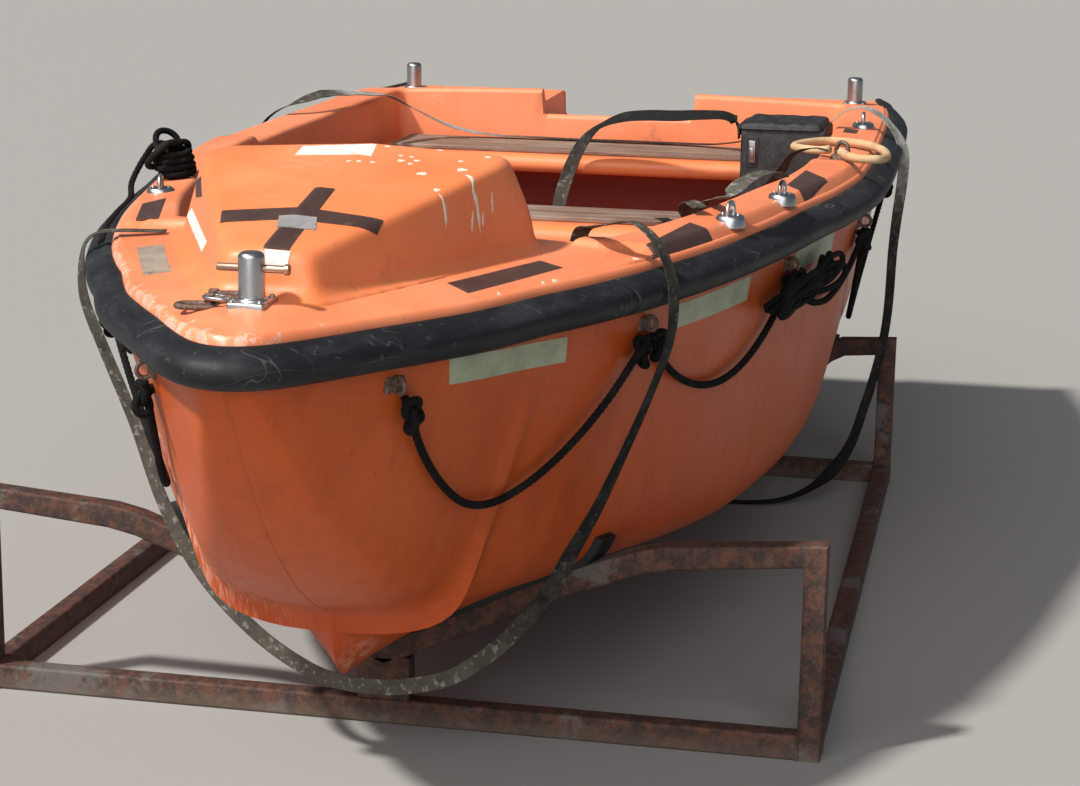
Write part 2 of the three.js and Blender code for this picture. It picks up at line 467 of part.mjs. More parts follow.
// The lashing round the quarter: from the port side of the cockpit over the deck edge, down to the ground under
// the boat, up the starboard side, along that side deck and across the aft wall to the console.
webbing("strap_quarter", [
  [-1150, 748, 1116, [0, -0.3, 1]], [-1150, 790, 1150, [0, -0.2, 1]], [-1150, 835, 1162, UP], [-1150, 885, 1146, [0, 0.5, 1]], [-1150, 930, 1105, [0, 1, 0.5]], [-1150, 956, 1062, PORT],
  [-1150, 965.5, 1020, PORT], [-1150, 964, 950, PORT], [-1148, 955, 850, PORT], [-1140, 947, 742, [0.3, 1, 0]], [-1110, 937, 500, [0.8, 1, 0]], [-1050, 890, 281, [0.8, 1, 0.2]],
  [-1000, 850, 160, [0.3, 0.7, 0.5]], [-960, 780, 70, [0, 0.6, 1]], [-930, 690, 20, [0, 0.2, 1]], [-905, 600, 5, UP], [-890, 450, 3, UP], [-885, 200, 3, UP],
  [-890, -150, 3, UP], [-900, -450, 3, UP], [-925, -600, 5, UP], [-950, -690, 20, [0, -0.2, 1]], [-970, -780, 70, [0, -0.6, 1]], [-985, -850, 160, [0, -1, 0.5]],
  [-995, -900, 300, STBD], [-1000, -938, 500, STBD], [-1000, -955, 742, STBD], [-1000, -964.5, 950, STBD], [-1000, -967.8, 1020, STBD],
  [-1000, -962, 1060, [0, -1, 0.4]], [-1000, -925, 1098, [0, -0.6, 1]], [-1005, -880, 1122, [0, -0.2, 1]], [-1030, -830, 1142, UP], [-1100, -800, 1150, UP],
  [-1220, -775, 1142, UP], [-1380, -745, 1125, UP], [-1500, -700, 1106, UP], [-1580, -640, 1060, [0.2, 0, 1]], [-1660, -540, 1000, [0.2, 0, 1]],
  [-1700, -420, 972, UP], [-1710, -250, 966, UP], [-1712, 0, 965, UP], [-1708, 200, 966, UP], [-1680, 330, 970, UP], [-1620, 420, 990, [0, -0.2, 1]], [-1520, 455, 1010, [0, -0.4, 1]],
]);

// The slack strap inside: from the console over the aft bench and down in front of it.
webbing("strap_inside", [
  [-1290, 459, 1040, STBD], [-1290, 452, 1085, [0, -1, 0.5]], [-1288, 420, 1106, UP], [-1286, 350, 1108, UP], [-1288, 260, 1102, UP], [-1300, 170, 1098, UP],
  [-1325, 90, 1086, UP], [-1350, 20, 1056, [0.4, -0.3, 1]], [-1368, -38, 1000, [0.8, -0.3, 0.5]], [-1372, -78, 920, BOW], [-1358, -104, 830, BOW], [-1368, -118, 750, BOW], [-1394, -126, 680, [1, 0, 0.4]],
]);
// Narrow webbing from the middle bench up to the fore eye on the port side deck and in an arch to the next eye.
webbing("strap_eye", [
  [-150, 400, 963, UP], [-90, 430, 966, UP], [0, 470, 980, UP], [180, 520, 1020, [0, -0.5, 1]], [380, 575, 1075, [0, -0.4, 1]], [540, 618, 1118, [0, -0.2, 1]],
  [640, 655, 1138, UP], [690, 676, 1152, UP], [660, 697, 1170, [0.7, 0, 1]], [600, 713, 1179, UP], [520, 730, 1182, UP], [440, 746, 1176, UP], [385, 758, 1164, [-0.6, 0, 1]], [362, 763, 1152, [-1, 0, 0.5]],
], 25);

// Slack webbing from the shackle along the inner edge of the side deck to the fore eye.
webbing("strap_side", [
  [-452, 800, 1118, UP], [-445, 765, 1124, [0, -0.3, 1]], [-420, 728, 1116, [0, -0.8, 1]], [-350, 705, 1098, STBD], [-200, 693, 1078, STBD], [0, 683, 1068, STBD],
  [200, 665, 1070, STBD], [400, 630, 1070, STBD], [500, 602, 1072, STBD], [575, 574, 1092, [0, -1, 0.4]], [620, 572, 1118, [0, -0.5, 1]], [660, 592, 1130, UP], [700, 618, 1124, UP],
]);

const ropePiece = (name, points, radius) => piece(name, tube(points, radius, 8, 20));
// Rope sling through the shackle, and the heap of rope on the starboard side deck that runs on along the fender.
ropePiece("deck_loop", [
  [-415, 838, 1120], [-360, 850, 1123], [-300, 868, 1124], [-262, 900, 1124], [-262, 938, 1124], [-330, 956, 1118], [-470, 955, 1111], [-600, 930, 1109], [-700, 880, 1109],
  [-745, 820, 1109], [-740, 770, 1109], [-690, 725, 1109], [-630, 700, 1109], [-580, 698, 1109], [-545, 725, 1109], [-520, 765, 1110], [-495, 800, 1116],
], 9);
const heapZ = sheer(480) + 56 + 8;
const heap = Array.from({ length: 43 }, (_, i) => {
  const a = (i * Math.PI) / 6;
  const r = 43 + 7 * Math.sin(0.9 * a);
  return [470 + 1.15 * r * Math.cos(a), -705 + r * Math.sin(a), heapZ + (i / 12) * 15.5];
});
const groove = [600, 700, 800, 900, 1000, 1100, 1150].map((x) => [x, -(beam(x) + 24), sheer(x) + 6]);
ropePiece("rope_stbd", [...heap, [440, -752, heapZ + 66], [425, -790, heapZ + 30], [450, -815, heapZ - 28], [500, -799, sheer(500) + 9], ...groove], 7);

export default root;
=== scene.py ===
"""Open lifeboat on its cradle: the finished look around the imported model, in metres."""

import math

import bmesh
import bpy
import numpy as np
from mathutils import Matrix, Vector


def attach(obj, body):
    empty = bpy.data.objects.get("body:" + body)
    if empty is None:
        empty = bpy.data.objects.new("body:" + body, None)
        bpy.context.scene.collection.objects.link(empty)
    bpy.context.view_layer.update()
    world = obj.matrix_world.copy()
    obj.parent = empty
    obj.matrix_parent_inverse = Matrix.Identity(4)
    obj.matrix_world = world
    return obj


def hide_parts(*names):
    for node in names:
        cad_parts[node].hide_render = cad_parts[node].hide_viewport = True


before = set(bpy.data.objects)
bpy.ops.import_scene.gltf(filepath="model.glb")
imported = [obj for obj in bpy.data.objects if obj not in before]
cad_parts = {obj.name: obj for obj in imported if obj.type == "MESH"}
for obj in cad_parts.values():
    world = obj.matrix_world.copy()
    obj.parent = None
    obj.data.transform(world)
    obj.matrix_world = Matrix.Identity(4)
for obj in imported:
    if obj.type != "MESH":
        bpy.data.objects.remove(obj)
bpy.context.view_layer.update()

# Studio: the camera stands off the port bow at the photograph's place. The sun stands to starboard of
# the bow, bright haze ahead and an even sky fill in, and the floor is pale.
FOCAL_PX, IMAGE_WIDE = 2352.604, 1080
YAW, PITCH, ROLL = 3.34498, 0.22918, 0.01477
ahead = Vector((math.cos(PITCH) * math.cos(YAW), math.cos(PITCH) * math.sin(YAW), -math.sin(PITCH)))
level = Vector((math.sin(YAW), -math.cos(YAW), 0))
upward = level.cross(ahead)
across = math.cos(ROLL) * level + math.sin(ROLL) * upward
above = math.cos(ROLL) * upward - math.sin(ROLL) * level
lens = bpy.data.cameras.new("camera")
lens.sensor_width = 36
lens.lens = 36 * FOCAL_PX / IMAGE_WIDE
lens.clip_end = 200
camera = bpy.data.objects.new("camera", lens)
turned = Matrix((across, above, -ahead)).transposed().to_4x4()
camera.matrix_world = Matrix.Translation((5.84266, 1.32232, 1.90443)) @ turned
bpy.context.collection.objects.link(camera)
bpy.context.scene.camera = camera
bpy.context.scene.view_settings.view_transform = "Standard"

for name, energy, spread, color, toward in (("sun", 4.8, 4, (1.0, 0.97, 0.92), (0.42, -0.50, 0.80)),
                                            ("haze", 2.0, 60, (1.0, 1.0, 1.0), (0.86, -0.05, 0.50))):
    light = bpy.data.objects.new(name, bpy.data.lights.new(name, "SUN"))
    light.data.energy, light.data.angle, light.data.color = energy, math.radians(spread), color
    light.rotation_euler = Vector(toward).to_track_quat("Z", "Y").to_euler()
    bpy.context.collection.objects.link(light)
sky = bpy.data.worlds.new("sky")
sky.use_nodes = True
sky.node_tree.nodes["Background"].inputs["Color"].default_value = (0.80, 0.87, 1.0, 1)
sky.node_tree.nodes["Background"].inputs["Strength"].default_value = 0.15
bpy.context.scene.world = sky


def wire(tree, value, socket):
    """Link a socket to a value that is a socket itself, or set it."""
    if isinstance(value, bpy.types.NodeSocket):
        tree.links.new(value, socket)
    else:
        socket.default_value = value


def add(tree, kind, sockets=None, **settings):
    """New node in a tree: settings are its own properties, and each socket takes a value or a link."""
    node = tree.nodes.new("ShaderNode" + kind)
    for key, value in settings.items():
        setattr(node, key, value)
    for key, value in (sockets or {}).items():
        wire(tree, value, node.inputs[key])
    return node


def finish(name, color, rough, **own):
    """New material, with its tree, its Principled shader and the place on the object. The shader's own
    sockets are set to constants."""
    made = bpy.data.materials.new(name)
    made.use_nodes = True
    shader = made.node_tree.nodes["Principled BSDF"]
    shader.inputs["Base Color"].default_value = (*color, 1)
    shader.inputs["Roughness"].default_value = rough
    for key, value in own.items():
        shader.inputs[key.replace("_", " ")].default_value = value
    return made, made.node_tree, shader, add(made.node_tree, "TexCoord").outputs["Object"]


def grid_faces(rows, columns, round_u, round_v, flip):
    """Quads of a grid of points: each joins (i, j), (i + 1, j), (i + 1, j + 1) and (i, j + 1)."""
    index = np.arange(rows * columns).reshape(rows, columns)
    if round_u:
        index = np.vstack([index, index[:1]])
    if round_v:
        index = np.hstack([index, index[:, :1]])
    quads = np.stack([index[:-1, :-1], index[1:, :-1], index[1:, 1:], index[:-1, 1:]], -1).reshape(-1, 4)
    return quads[:, ::-1] if flip else quads


def surface(name, *grids, round_u=False, round_v=False, flip=False, closed=False, sharp=None, **marks):
    """Mesh of one or more grids of points, each mark a float attribute with one array per grid. A
    closed one has its faces turned outwards. Edges over the angle `sharp`, in degrees, are sharp."""
    starts = np.cumsum([0] + [grid.shape[0] * grid.shape[1] for grid in grids])
    points = np.concatenate([grid.reshape(-1, 3) for grid in grids])
    faces = np.concatenate([grid_faces(*grid.shape[:2], round_u, round_v, flip) + start
                            for grid, start in zip(grids, starts)])
    mesh = bpy.data.meshes.new(name)
    mesh.from_pydata(points.tolist(), [], faces.tolist())
    for key, values in marks.items():
        flat = np.concatenate([np.broadcast_to(v, grid.shape[:2]).ravel() for v, grid in zip(values, grids)])
        mesh.attributes.new(key, "FLOAT", "POINT").data.foreach_set("value", flat.astype(np.float32))
    shape = bmesh.new()
    shape.from_mesh(mesh)
    bmesh.ops.remove_doubles(shape, verts=shape.verts, dist=1e-6)
    bmesh.ops.dissolve_degenerate(shape, edges=shape.edges, dist=1e-7)
    if closed:
        bmesh.ops.recalc_face_normals(shape, faces=shape.faces)
    shape.to_mesh(mesh)
    shape.free()
    mesh.shade_smooth()
    if sharp:
        mesh.set_sharp_from_angle(angle=math.radians(sharp))
    made = bpy.data.objects.new(name, mesh)
    bpy.context.collection.objects.link(made)
    return made


def solid(name, *grids, sharp=None, **marks):
    """Closed mesh of grids whose columns run round it."""
    return surface(name, *grids, round_v=True, closed=True, sharp=sharp, **marks)


def capped(rings):
    """Rings with both ends closed to their middle."""
    ends = np.broadcast_to(rings[[0, -1]].mean(1, keepdims=True), (2, *rings.shape[1:]))
    return np.concatenate([ends[:1], rings, ends[1:]])


def raised(plan, height):
    """Plan points (x, y) with a height each."""
    return np.concatenate([plan, np.broadcast_to(height, plan.shape[:-1])[..., None]], -1)


def unit(v):
    """Vectors over their lengths."""
    return v / np.linalg.norm(v, axis=-1)[..., None]


def way_along(line):
    """Way along a line of points to each of them."""
    return np.concatenate([[0], np.cumsum(np.linalg.norm(np.diff(line[:, :3], axis=0), axis=1))])


def fit(piece, material, slot, *replaced, body="boat_and_cradle"):
    """The piece gets its material, rides on its body and stands for its CAD nodes."""
    piece.data.materials.clear()
    piece.data.materials.append(material)
    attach(piece, body)
    if replaced:
        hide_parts(*replaced)
    return piece


FLOOR_ENDS = (-60.0, 60.0)
floor = surface("floor", np.array([[[x, y, 0.0] for x in FLOOR_ENDS] for y in FLOOR_ENDS]), flip=True)
floor.data.materials.append(finish("pale_floor", (0.29, 0.283, 0.27), 0.95)[0])

# Hull: hand-laid glass-fibre skin in orange gelcoat with a V bottom, hard chines, flared sides and
# a blunt raked bow, laid up in one mould. The upright band at the top takes the fender.
STERN, NOSE, BULKHEAD, TRANSOM = -2.150, 2.114, 1.040, -1.757
BAND_HIGH, BAND_LIP = 0.062, 0.012
HULL = np.array([
    (-2150, 815, 205, 620, 368, 705), (-1750, 882, 203, 655, 362, 755), (-1600, 894, 202, 665, 359, 758),
    (-1281, 903, 200, 674, 355, 756), (-1000, 908, 200, 680, 350, 766), (-650, 914, 200, 679, 344, 777),
    (-340, 908, 200, 669, 337, 784), (0, 868, 200, 638, 331, 768), (200, 826, 200, 608, 329, 743),
    (500, 768, 201, 550, 334, 690), (800, 699, 203, 453, 350, 594), (1000, 640, 205, 377, 364, 498),
    (1099, 606, 207, 342, 366, 445), (1200, 569, 209, 294, 368, 388), (1300, 527, 211, 228, 372, 330),
    (1400, 480, 222, 137, 392, 285), (1470, 443, 285, 54, 425, 253), (1490, 432, 378, 5, 386, 240),
    (1600, 384, 438, 5, 445, 206), (1700, 336, 500, 5, 507, 177), (1800, 272, 582, 5, 589, 143),
    (1900, 202, 682, 5, 689, 108), (1990, 142, 800, 5, 807, 84), (2050, 98, 890, 4, 896, 62),
    (2090, 60, 960, 4, 965, 42), (2108, 30, 1010, 3, 1014, 24), (2114, 8, 1026, 2, 1029, 7)]) / 1000
NOTCH_HALF, NOTCH_DROP, WELL_FALL = 0.250, 0.030, 0.055


def fair(column, x):
    """Table column at x: a cubic between rows whose slope at a row is the harmonic mean of the
    straight slopes beside it, or level where they differ in sign."""
    rows, values = HULL[:, 0], HULL[:, column]
    steps = np.diff(values) / np.diff(rows)
    product = steps[:-1] * steps[1:]
    inner = np.where(product > 0, 2 * product / np.where(product > 0, steps[:-1] + steps[1:], 1), 0)
    slopes = np.concatenate([steps[:1], inner, steps[-1:]])
    i = np.clip(np.searchsorted(rows, x) - 1, 0, len(rows) - 2)
    span = rows[i + 1] - rows[i]
    t = np.clip((x - rows[i]) / span, 0, 1)
    return ((1 + 2 * t) * (1 - t) ** 2 * values[i] + t * (1 - t) ** 2 * span * slopes[i]
            + t * t * (3 - 2 * t) * values[i + 1] + t * t * (t - 1) * span * slopes[i + 1])


def sheer(x):
    """Height of the deck edge along the boat, a shallow curve in x."""
    return 1.054 - 0.005 * x + 0.002 * x * x


def half_section(x, side_steps):
    """Points (y, z) of the hull from keel to deck edge at each x: straight to the chine, then out to
    the side as 1 - exp(-t / 0.05), raised to a power that falls to a half at the rounded stem, flared
    to the upright band."""
    x = x[:, None]
    t = side_steps[None, :]
    b, keel, cy, cz, k = (fair(c, x) for c in range(1, 6))
    stem = np.clip((x - 1.44) / 0.05, 0, 1)
    cy, cz = cy * (1 - stem), np.maximum(cz * (1 - stem) + keel * stem, keel + 0.0003)
    band = np.maximum(sheer(x) - BAND_HIGH - BAND_LIP, cz + 0.008)
    turn = (1 - np.exp(-t / 0.05)) ** (1 - 0.5 * np.clip((x - 1.36) / 0.12, 0, 1))
    y = np.minimum(cy + (k - cy) * turn + (b - k) * t, b)
    z = cz + (band - cz) * t
    low = np.linspace(0, 1, 9)[None, :-1]
    top = np.linspace(0, 1, 4)[None, 1:]
    ys = np.concatenate([cy * low, y, b + 0 * top], 1)
    zs = np.concatenate([keel + (cz - keel) * low, z, band + (sheer(x) - band) * top], 1)
    return ys, zs


SIDE_STEPS = np.concatenate([[0, 0.008, 0.018, 0.03, 0.045, 0.065, 0.09, 0.12, 0.16],
                             np.linspace(0.21, 1, 16)])
stations = NOSE - (NOSE - STERN) * (1 - np.sin(np.linspace(0, 1, 230) * math.pi / 2) ** 0.9)
stations[0] = STERN
ys, zs = half_section(stations, SIDE_STEPS)
ys, zs = np.hstack([-ys[:, :0:-1], ys]), np.hstack([zs[:, :0:-1], zs])
skin = np.stack([np.broadcast_to(stations[:, None], ys.shape), ys, zs], -1)
# The transom: each level of the last section from side to side, lowered at the notch for the motor.
half = len(ys[0]) // 2
spread = np.array([*np.linspace(0, 0.304, 8), 0.3085, *np.linspace(0.34, 1, 12)])
spread = np.concatenate([-spread[:0:-1], spread])
panel_y = ys[0, half:, None] * spread
panel_z = np.broadcast_to(zs[0, half:, None], panel_y.shape)
notch_floor = sheer(STERN) - NOTCH_DROP - WELL_FALL - 0.005
panel_z = np.where(np.abs(panel_y) < NOTCH_HALF + 0.0008, np.minimum(panel_z, notch_floor), panel_z)
transom = np.stack([STERN + 0 * panel_y, panel_y, panel_z], -1)
hull = surface("hull", skin, transom, closed=True, sharp=38)
hull.modifiers.new("skin", "SOLIDIFY").thickness = 0.008


def group(name, inputs, outputs):
    """Shader node group with named inputs and outputs: its tree, what it is given and what it gives."""
    made = bpy.data.node_groups.new(name, "ShaderNodeTree")
    for way, sockets in (("INPUT", inputs), ("OUTPUT", outputs)):
        for socket, kind in sockets.items():
            made.interface.new_socket(socket, in_out=way, socket_type="NodeSocket" + kind)
    return made, made.nodes.new("NodeGroupInput").outputs, made.nodes.new("NodeGroupOutput").inputs


def place(tree, shared, **sockets):
    """Outputs of a shared group placed in a material with its own inputs."""
    node = tree.nodes.new("ShaderNodeGroup")
    node.node_tree = shared
    for key, value in sockets.items():
        wire(tree, value, node.inputs[key])
    return node.outputs


def calc(tree, what, a, b=0.0):
    """One operation on two values."""
    return add(tree, "Math", {0: a, 1: b}, operation=what).outputs[0]


def times(tree, a, b):
    """Product of two values."""
    return calc(tree, "MULTIPLY", a, b)


def more(tree, base, value, amount):
    """A base plus an amount of a value."""
    return calc(tree, "ADD", times(tree, value, amount), base)


def blend(tree, mask, low, high, share=1.0):
    """Colour that runs from low to high with a share of a mask."""
    sockets = {0: mask if share == 1.0 else times(tree, mask, share),
               6: low if isinstance(low, bpy.types.NodeSocket) else (*low, 1),
               7: high if isinstance(high, bpy.types.NodeSocket) else (*high, 1)}
    return add(tree, "Mix", sockets, data_type="RGBA").outputs[2]


def window(tree, value, low, high):
    """Smooth step of a value from 0 at low to 1 at high, where low may be the larger."""
    return add(tree, "MapRange", {"Value": value, "From Min": low, "From Max": high},
               interpolation_type="SMOOTHSTEP").outputs[0]


def noise(tree, at, scale, detail=3.0, rough=0.5):
    """Fractal noise around a half."""
    sockets = {"Vector": at, "Scale": scale, "Detail": detail, "Roughness": rough}
    return add(tree, "TexNoise", sockets).outputs[0]


def patches(tree, at, scale, detail, rough, low, high):
    """Fractal noise whose step from low to high makes patches."""
    return window(tree, noise(tree, at, scale, detail, rough), low, high)


def stretch(tree, at, amounts, turn=(0, 0, 0)):
    """Place scaled along its axes, which makes a pattern long where the scale is small."""
    return add(tree, "Mapping", {"Vector": at, "Scale": amounts, "Rotation": turn}).outputs[0]


def near(tree, at, middle, reach):
    """Mask that falls from 1 at a point to 0 at a distance from it."""
    away = add(tree, "VectorMath", {0: at, 1: middle}, operation="DISTANCE").outputs["Value"]
    return window(tree, away, reach, 0.0)


def dress(tree, shader, color, rough, height, depth):
    """Last links of a material: its colour, its roughness and a bump of a depth in metres."""
    wire(tree, color, shader.inputs["Base Color"])
    wire(tree, rough, shader.inputs["Roughness"])
    bump = add(tree, "Bump", {"Height": height, "Distance": depth})
    wire(tree, bump.outputs[0], shader.inputs["Normal"])


# Weather: clouds of fading, fine specks, streaks that run down, thin crossing scratches and a grain.
weather, given, gives = group("weather", {"Place": "Vector"},
                              {word: "Float" for word in ("Cloud", "Speck", "Streak", "Scratch", "Grain")})
spot = given["Place"]
wire(weather, patches(weather, spot, 1.9, 5, 0.6, 0.36, 0.66), gives["Cloud"])
wire(weather, patches(weather, spot, 60, 3, 0.7, 0.62, 0.74), gives["Speck"])
upright = stretch(weather, spot, (11, 11, 0.7))
wire(weather, patches(weather, upright, 2.2, 4, 0.62, 0.44, 0.72), gives["Streak"])
cuts = []
for turn, scale in (((0.3, 0.2, 0.5), (2.2, 2.2, 15)), ((0.9, -0.4, 1.4), (13, 2.5, 2.5))):
    wavy = noise(weather, stretch(weather, spot, scale, turn), 1.2, 2, 0.5)
    from_line = calc(weather, "ABSOLUTE", calc(weather, "SUBTRACT", wavy, 0.5))
    cuts.append(window(weather, from_line, 0.005, 0.0))
patchy = patches(weather, spot, 4.2, 2, 0.5, 0.50, 0.62)
wire(weather, times(weather, calc(weather, "MAXIMUM", *cuts), patchy), gives["Scratch"])
wire(weather, noise(weather, spot, 380, 2, 0.5), gives["Grain"])


def gelcoat(name, main, faded, grime, streaks, scratches):
    """Sun-bleached gelcoat with its weather: material, tree, shader, place, weather and colour so far."""
    made, tree, shader, spot = finish(name, main, 0.5, Specular_IOR_Level=0.4)
    look = place(tree, weather, Place=spot)
    color = blend(tree, look["Cloud"], main, faded, 0.6)
    color = blend(tree, look["Streak"], color, grime, streaks)
    color = blend(tree, look["Speck"], color, grime, 0.45)
    color = blend(tree, look["Scratch"], color, (0.86, 0.60, 0.48), scratches)
    return made, tree, shader, spot, look, color


def gelcoat_last(tree, shader, look, color):
    """Gelcoat's roughness rises with fading and dirt, and its scratches are cut into it."""
    rough = more(tree, more(tree, 0.36, look["Speck"], 0.2), look["Cloud"], 0.16)
    high = more(tree, times(tree, look["Grain"], 0.10), look["Scratch"], -0.6)
    dress(tree, shader, color, rough, high, 0.0006)


hull_orange, tree, shader, spot, look, color = gelcoat(
    "hull_gelcoat", (0.48, 0.074, 0.010), (0.53, 0.105, 0.023), (0.28, 0.042, 0.012), 0.30, 0.03)
shader.inputs["Specular IOR Level"].default_value = 0.30
axes = add(tree, "SeparateXYZ", {0: spot}).outputs
# Painted shade: the hull turns a deeper red below the chine, from a height of 0.52 m down to 0.30 m.
color = blend(tree, window(tree, axes[2], 0.52, 0.30), color, (0.40, 0.050, 0.010), 0.60)
splash = window(tree, calc(tree, "SUBTRACT", noise(tree, spot, 7, 4, 0.65), axes[2]), 0.22, 0.42)
color = blend(tree, splash, color, (0.13, 0.060, 0.040), 0.45)
chafed = patches(tree, stretch(tree, spot, (6, 30, 3)), 5, 4, 0.7, 0.47, 0.60)
chafed = times(tree, chafed, near(tree, spot, (1.46, -0.30, 0.62), 0.42))
color = blend(tree, chafed, color, (0.78, 0.48, 0.36), 0.65)
worn = times(tree, near(tree, spot, (1.411, 0.027, 0.27), 0.08), patches(tree, spot, 38, 4, 0.7, 0.40, 0.62))
color = blend(tree, worn, color, (0.62, 0.42, 0.30), 0.5)
gelcoat_last(tree, shader, look, color)
fit(hull, hull_orange, "orange_grp", "hull_shell")


# Deck: one moulding in the same gelcoat, a crowned foredeck with a rolled edge, raised side decks, the
# cockpit with its sole and the low aft deck with the notch for the motor. Bonded over the hull's edge.
SOLE = 0.520
EDGE, ROLL_IN, CORNER, GLUE = 0.014, 0.016, 0.03, 0.0004
WALL_LOW, WALL_TOP = 0.58, 0.994


def ramp(x, low, high):
    """Smooth step from 0 at low to 1 at high, 3 t^2 - 2 t^3."""
    t = np.clip((x - low) / (high - low), 0, 1)
    return t * t * (3 - 2 * t)


def rim(x):
    """Half width of the cockpit: the half beam less the side deck."""
    return fair(1, x) - np.interp(x, [-1.8, -0.45, 0.0, 0.7, 1.05], [0.150, 0.150, 0.135, 0.140, 0.157])


def wall_lean(x):
    """How far the cockpit's side leans in from the rim to the sole."""
    return rim(x) - np.minimum(rim(x) - 0.04, fair(5, x) - 0.06)


def deck_height(x, y):
    """Deck over the plan: the sheer, plus a step up from the aft deck, a crown that is a parabola
    across, the raised side decks, a shoulder that falls to the edge, and the notch falling aft."""
    b = np.maximum(fair(1, x), 0.03)
    u = np.clip(np.abs(y) / (b - 0.026), 0, 1)
    up = ramp(x, -1.830, -1.785)
    crown = (0.020 + 0.006 * ramp(x, 0.9, 1.9)) * ramp(-x, -2.085, -1.990)
    rise = 0.006 + up * (0.026 + crown * (1 - u * u))
    side = ramp(x, -0.357, -0.343) * ramp(-x, -1.102, -1.087)
    side = side * np.where(x > BULKHEAD, ramp(np.abs(y), b - 0.206, b - 0.194), 1)
    rise = rise + side * (0.056 - rise)
    shoulder = np.minimum(b - np.abs(y), NOSE - x)
    rise = np.minimum(rise, 0.013 + 0.043 * ramp(shoulder, -0.010, 0.040)
                      - 0.008 * ramp(np.abs(y), b - 0.15, b))
    notch = ramp(-x, 1.735, 1.745) * ramp(-np.abs(y), -NOTCH_HALF - 0.004, -NOTCH_HALF + 0.004)
    well = NOTCH_DROP + WELL_FALL * np.clip((-1.765 - x) / 0.38, 0, 1)
    return sheer(x) + rise * (1 - notch) - well * notch


def on_deck(x, y):
    """Height of the deck at one place."""
    return float(deck_height(np.array([x]), np.array([y]))[0])


def evenly(path, fractions):
    """Points at fractions of the length of a line, whose columns past the third go with them."""
    at = way_along(path)
    return np.stack([np.interp(fractions * at[-1], at, path[:, k]) for k in range(path.shape[1])], -1)


# The cockpit's rim runs port side, aft wall, starboard side, front wall. Each of its points looks
# outwards to a point of the deck edge.
front_end, aft_end = BULKHEAD - CORNER, TRANSOM + CORNER
side_x = np.linspace(front_end, aft_end, 116)
aft_y = np.concatenate([np.linspace(1, 0.36, 16), [0.352, 0.340], np.linspace(0.325, 0, 12)])
aft_y = np.concatenate([aft_y, -aft_y[-2::-1]])
front_y = np.sort(np.concatenate([np.linspace(-1, 1, 109), [-0.3322, 0.3322]]))
turn = np.linspace(0, math.pi / 2, 8)[1:-1]
bend = CORNER * np.stack([np.sin(turn), np.cos(turn)], -1)
mirror = np.array([1, -1])
w_aft, w_front = rim(np.array([aft_end, front_end])) - CORNER
port_side = np.stack([side_x, rim(side_x)], -1)
corner_aft = (aft_end, w_aft) + bend * (-1, 1)
aft = np.stack([0 * aft_y + TRANSOM, aft_y * w_aft], -1)
corner_front = ((front_end, w_front) + bend) * mirror
front = np.stack([0 * front_y + BULKHEAD, front_y * w_front], -1)
loop = np.concatenate([port_side, corner_aft, aft, corner_aft[::-1] * mirror, port_side[::-1] * mirror,
                       corner_front, front, corner_front[::-1] * mirror])
bow_x = NOSE - (NOSE - front_end) * (1 - np.sin(np.linspace(0, 1, 200) * math.pi / 2))
bow_edge = np.stack([bow_x, fair(1, bow_x)], -1)
bow_edge[-1, 1] = 0
bow_edge = np.concatenate([bow_edge * mirror, bow_edge[-2::-1]])
quarter_x = np.linspace(aft_end, STERN, 12)
notch_sides = np.array([NOTCH_HALF - 0.002, NOTCH_HALF + 0.002])
stern_half = np.concatenate([np.stack([quarter_x, fair(1, quarter_x)], -1),
                             [[STERN, y] for y in (*notch_sides[::-1], 0)]])
reach = way_along(stern_half)
aft_run = np.concatenate([corner_aft[:, 1], aft[:, 1]])
inner = np.interp(np.abs(aft_run), [0, *notch_sides, w_aft + CORNER], [*reach[:-4:-1], 0])
stern_edge = np.stack([np.interp(inner, reach, stern_half[:, k]) for k in range(2)], -1)
stern_edge[:, 1] *= np.sign(aft_run + 1e-9)
stern_back = stern_edge[:len(turn)][::-1] * mirror
bow_part = evenly(bow_edge, np.linspace(0, 1, len(front) + 2 * len(turn) + 2)[1:-1])
outer = np.concatenate([np.stack([side_x, fair(1, side_x)], -1), stern_edge, stern_back,
                        np.stack([side_x, -fair(1, side_x)], -1)[::-1], bow_part])


def outward(line):
    """Unit normal of a line of plan points, to the right of its run."""
    step = np.roll(line, -1, 0) - np.roll(line, 1, 0)
    step /= np.linalg.norm(step, axis=1)[:, None]
    return np.stack([step[:, 1], -step[:, 0]], -1)


loop_out = outward(loop)
edge_out = outward(outer)
seat = loop + loop_out * ROLL_IN
last = outer - edge_out * EDGE
wide = np.linalg.norm(last - seat, axis=1)[:, None]
even = np.linspace(0, 1, 44)[None, :]
bunched = 0.6 * even ** 3 + 0.4 * even
far = np.clip((wide - 0.2) / 0.4, 0, 1)
share = even * (1 - far) + bunched * far
plan = seat[:, None] + (last - seat)[:, None] * share[..., None]
deck = raised(plan, deck_height(plan[..., 0], plan[..., 1]))
a = np.linspace(0, math.pi / 2, 9)[None, 1:]
drop = deck[:, -1:, 2] - sheer(outer[:, :1])
over = outer[:, None] - edge_out[:, None] * (EDGE * (1 - np.sin(a)))[..., None]
rolled = raised(over, sheer(outer[:, :1]) + GLUE + np.where(drop > 0, drop * np.cos(a), drop))
into = loop[:, None] + loop_out[:, None] * (ROLL_IN * (1 - np.sin(a[:, ::-1])))[..., None]
lip = raised(into, deck[:, :1, 2] - ROLL_IN * (1 - np.cos(a[:, ::-1])))
lean = wall_lean(loop[:, 0]) * np.abs(loop_out[:, 1])
levels = np.array([SOLE, 0.524, 0.535, 0.555, WALL_LOW, 0.680, 0.805, 0.930, WALL_TOP])
foot = np.array([0.050, 0.034, 0.016, 0.004, 0, 0, 0, 0, 0])
inset = np.interp(levels, [WALL_LOW, WALL_TOP], [1, 0]) * lean[:, None] + foot
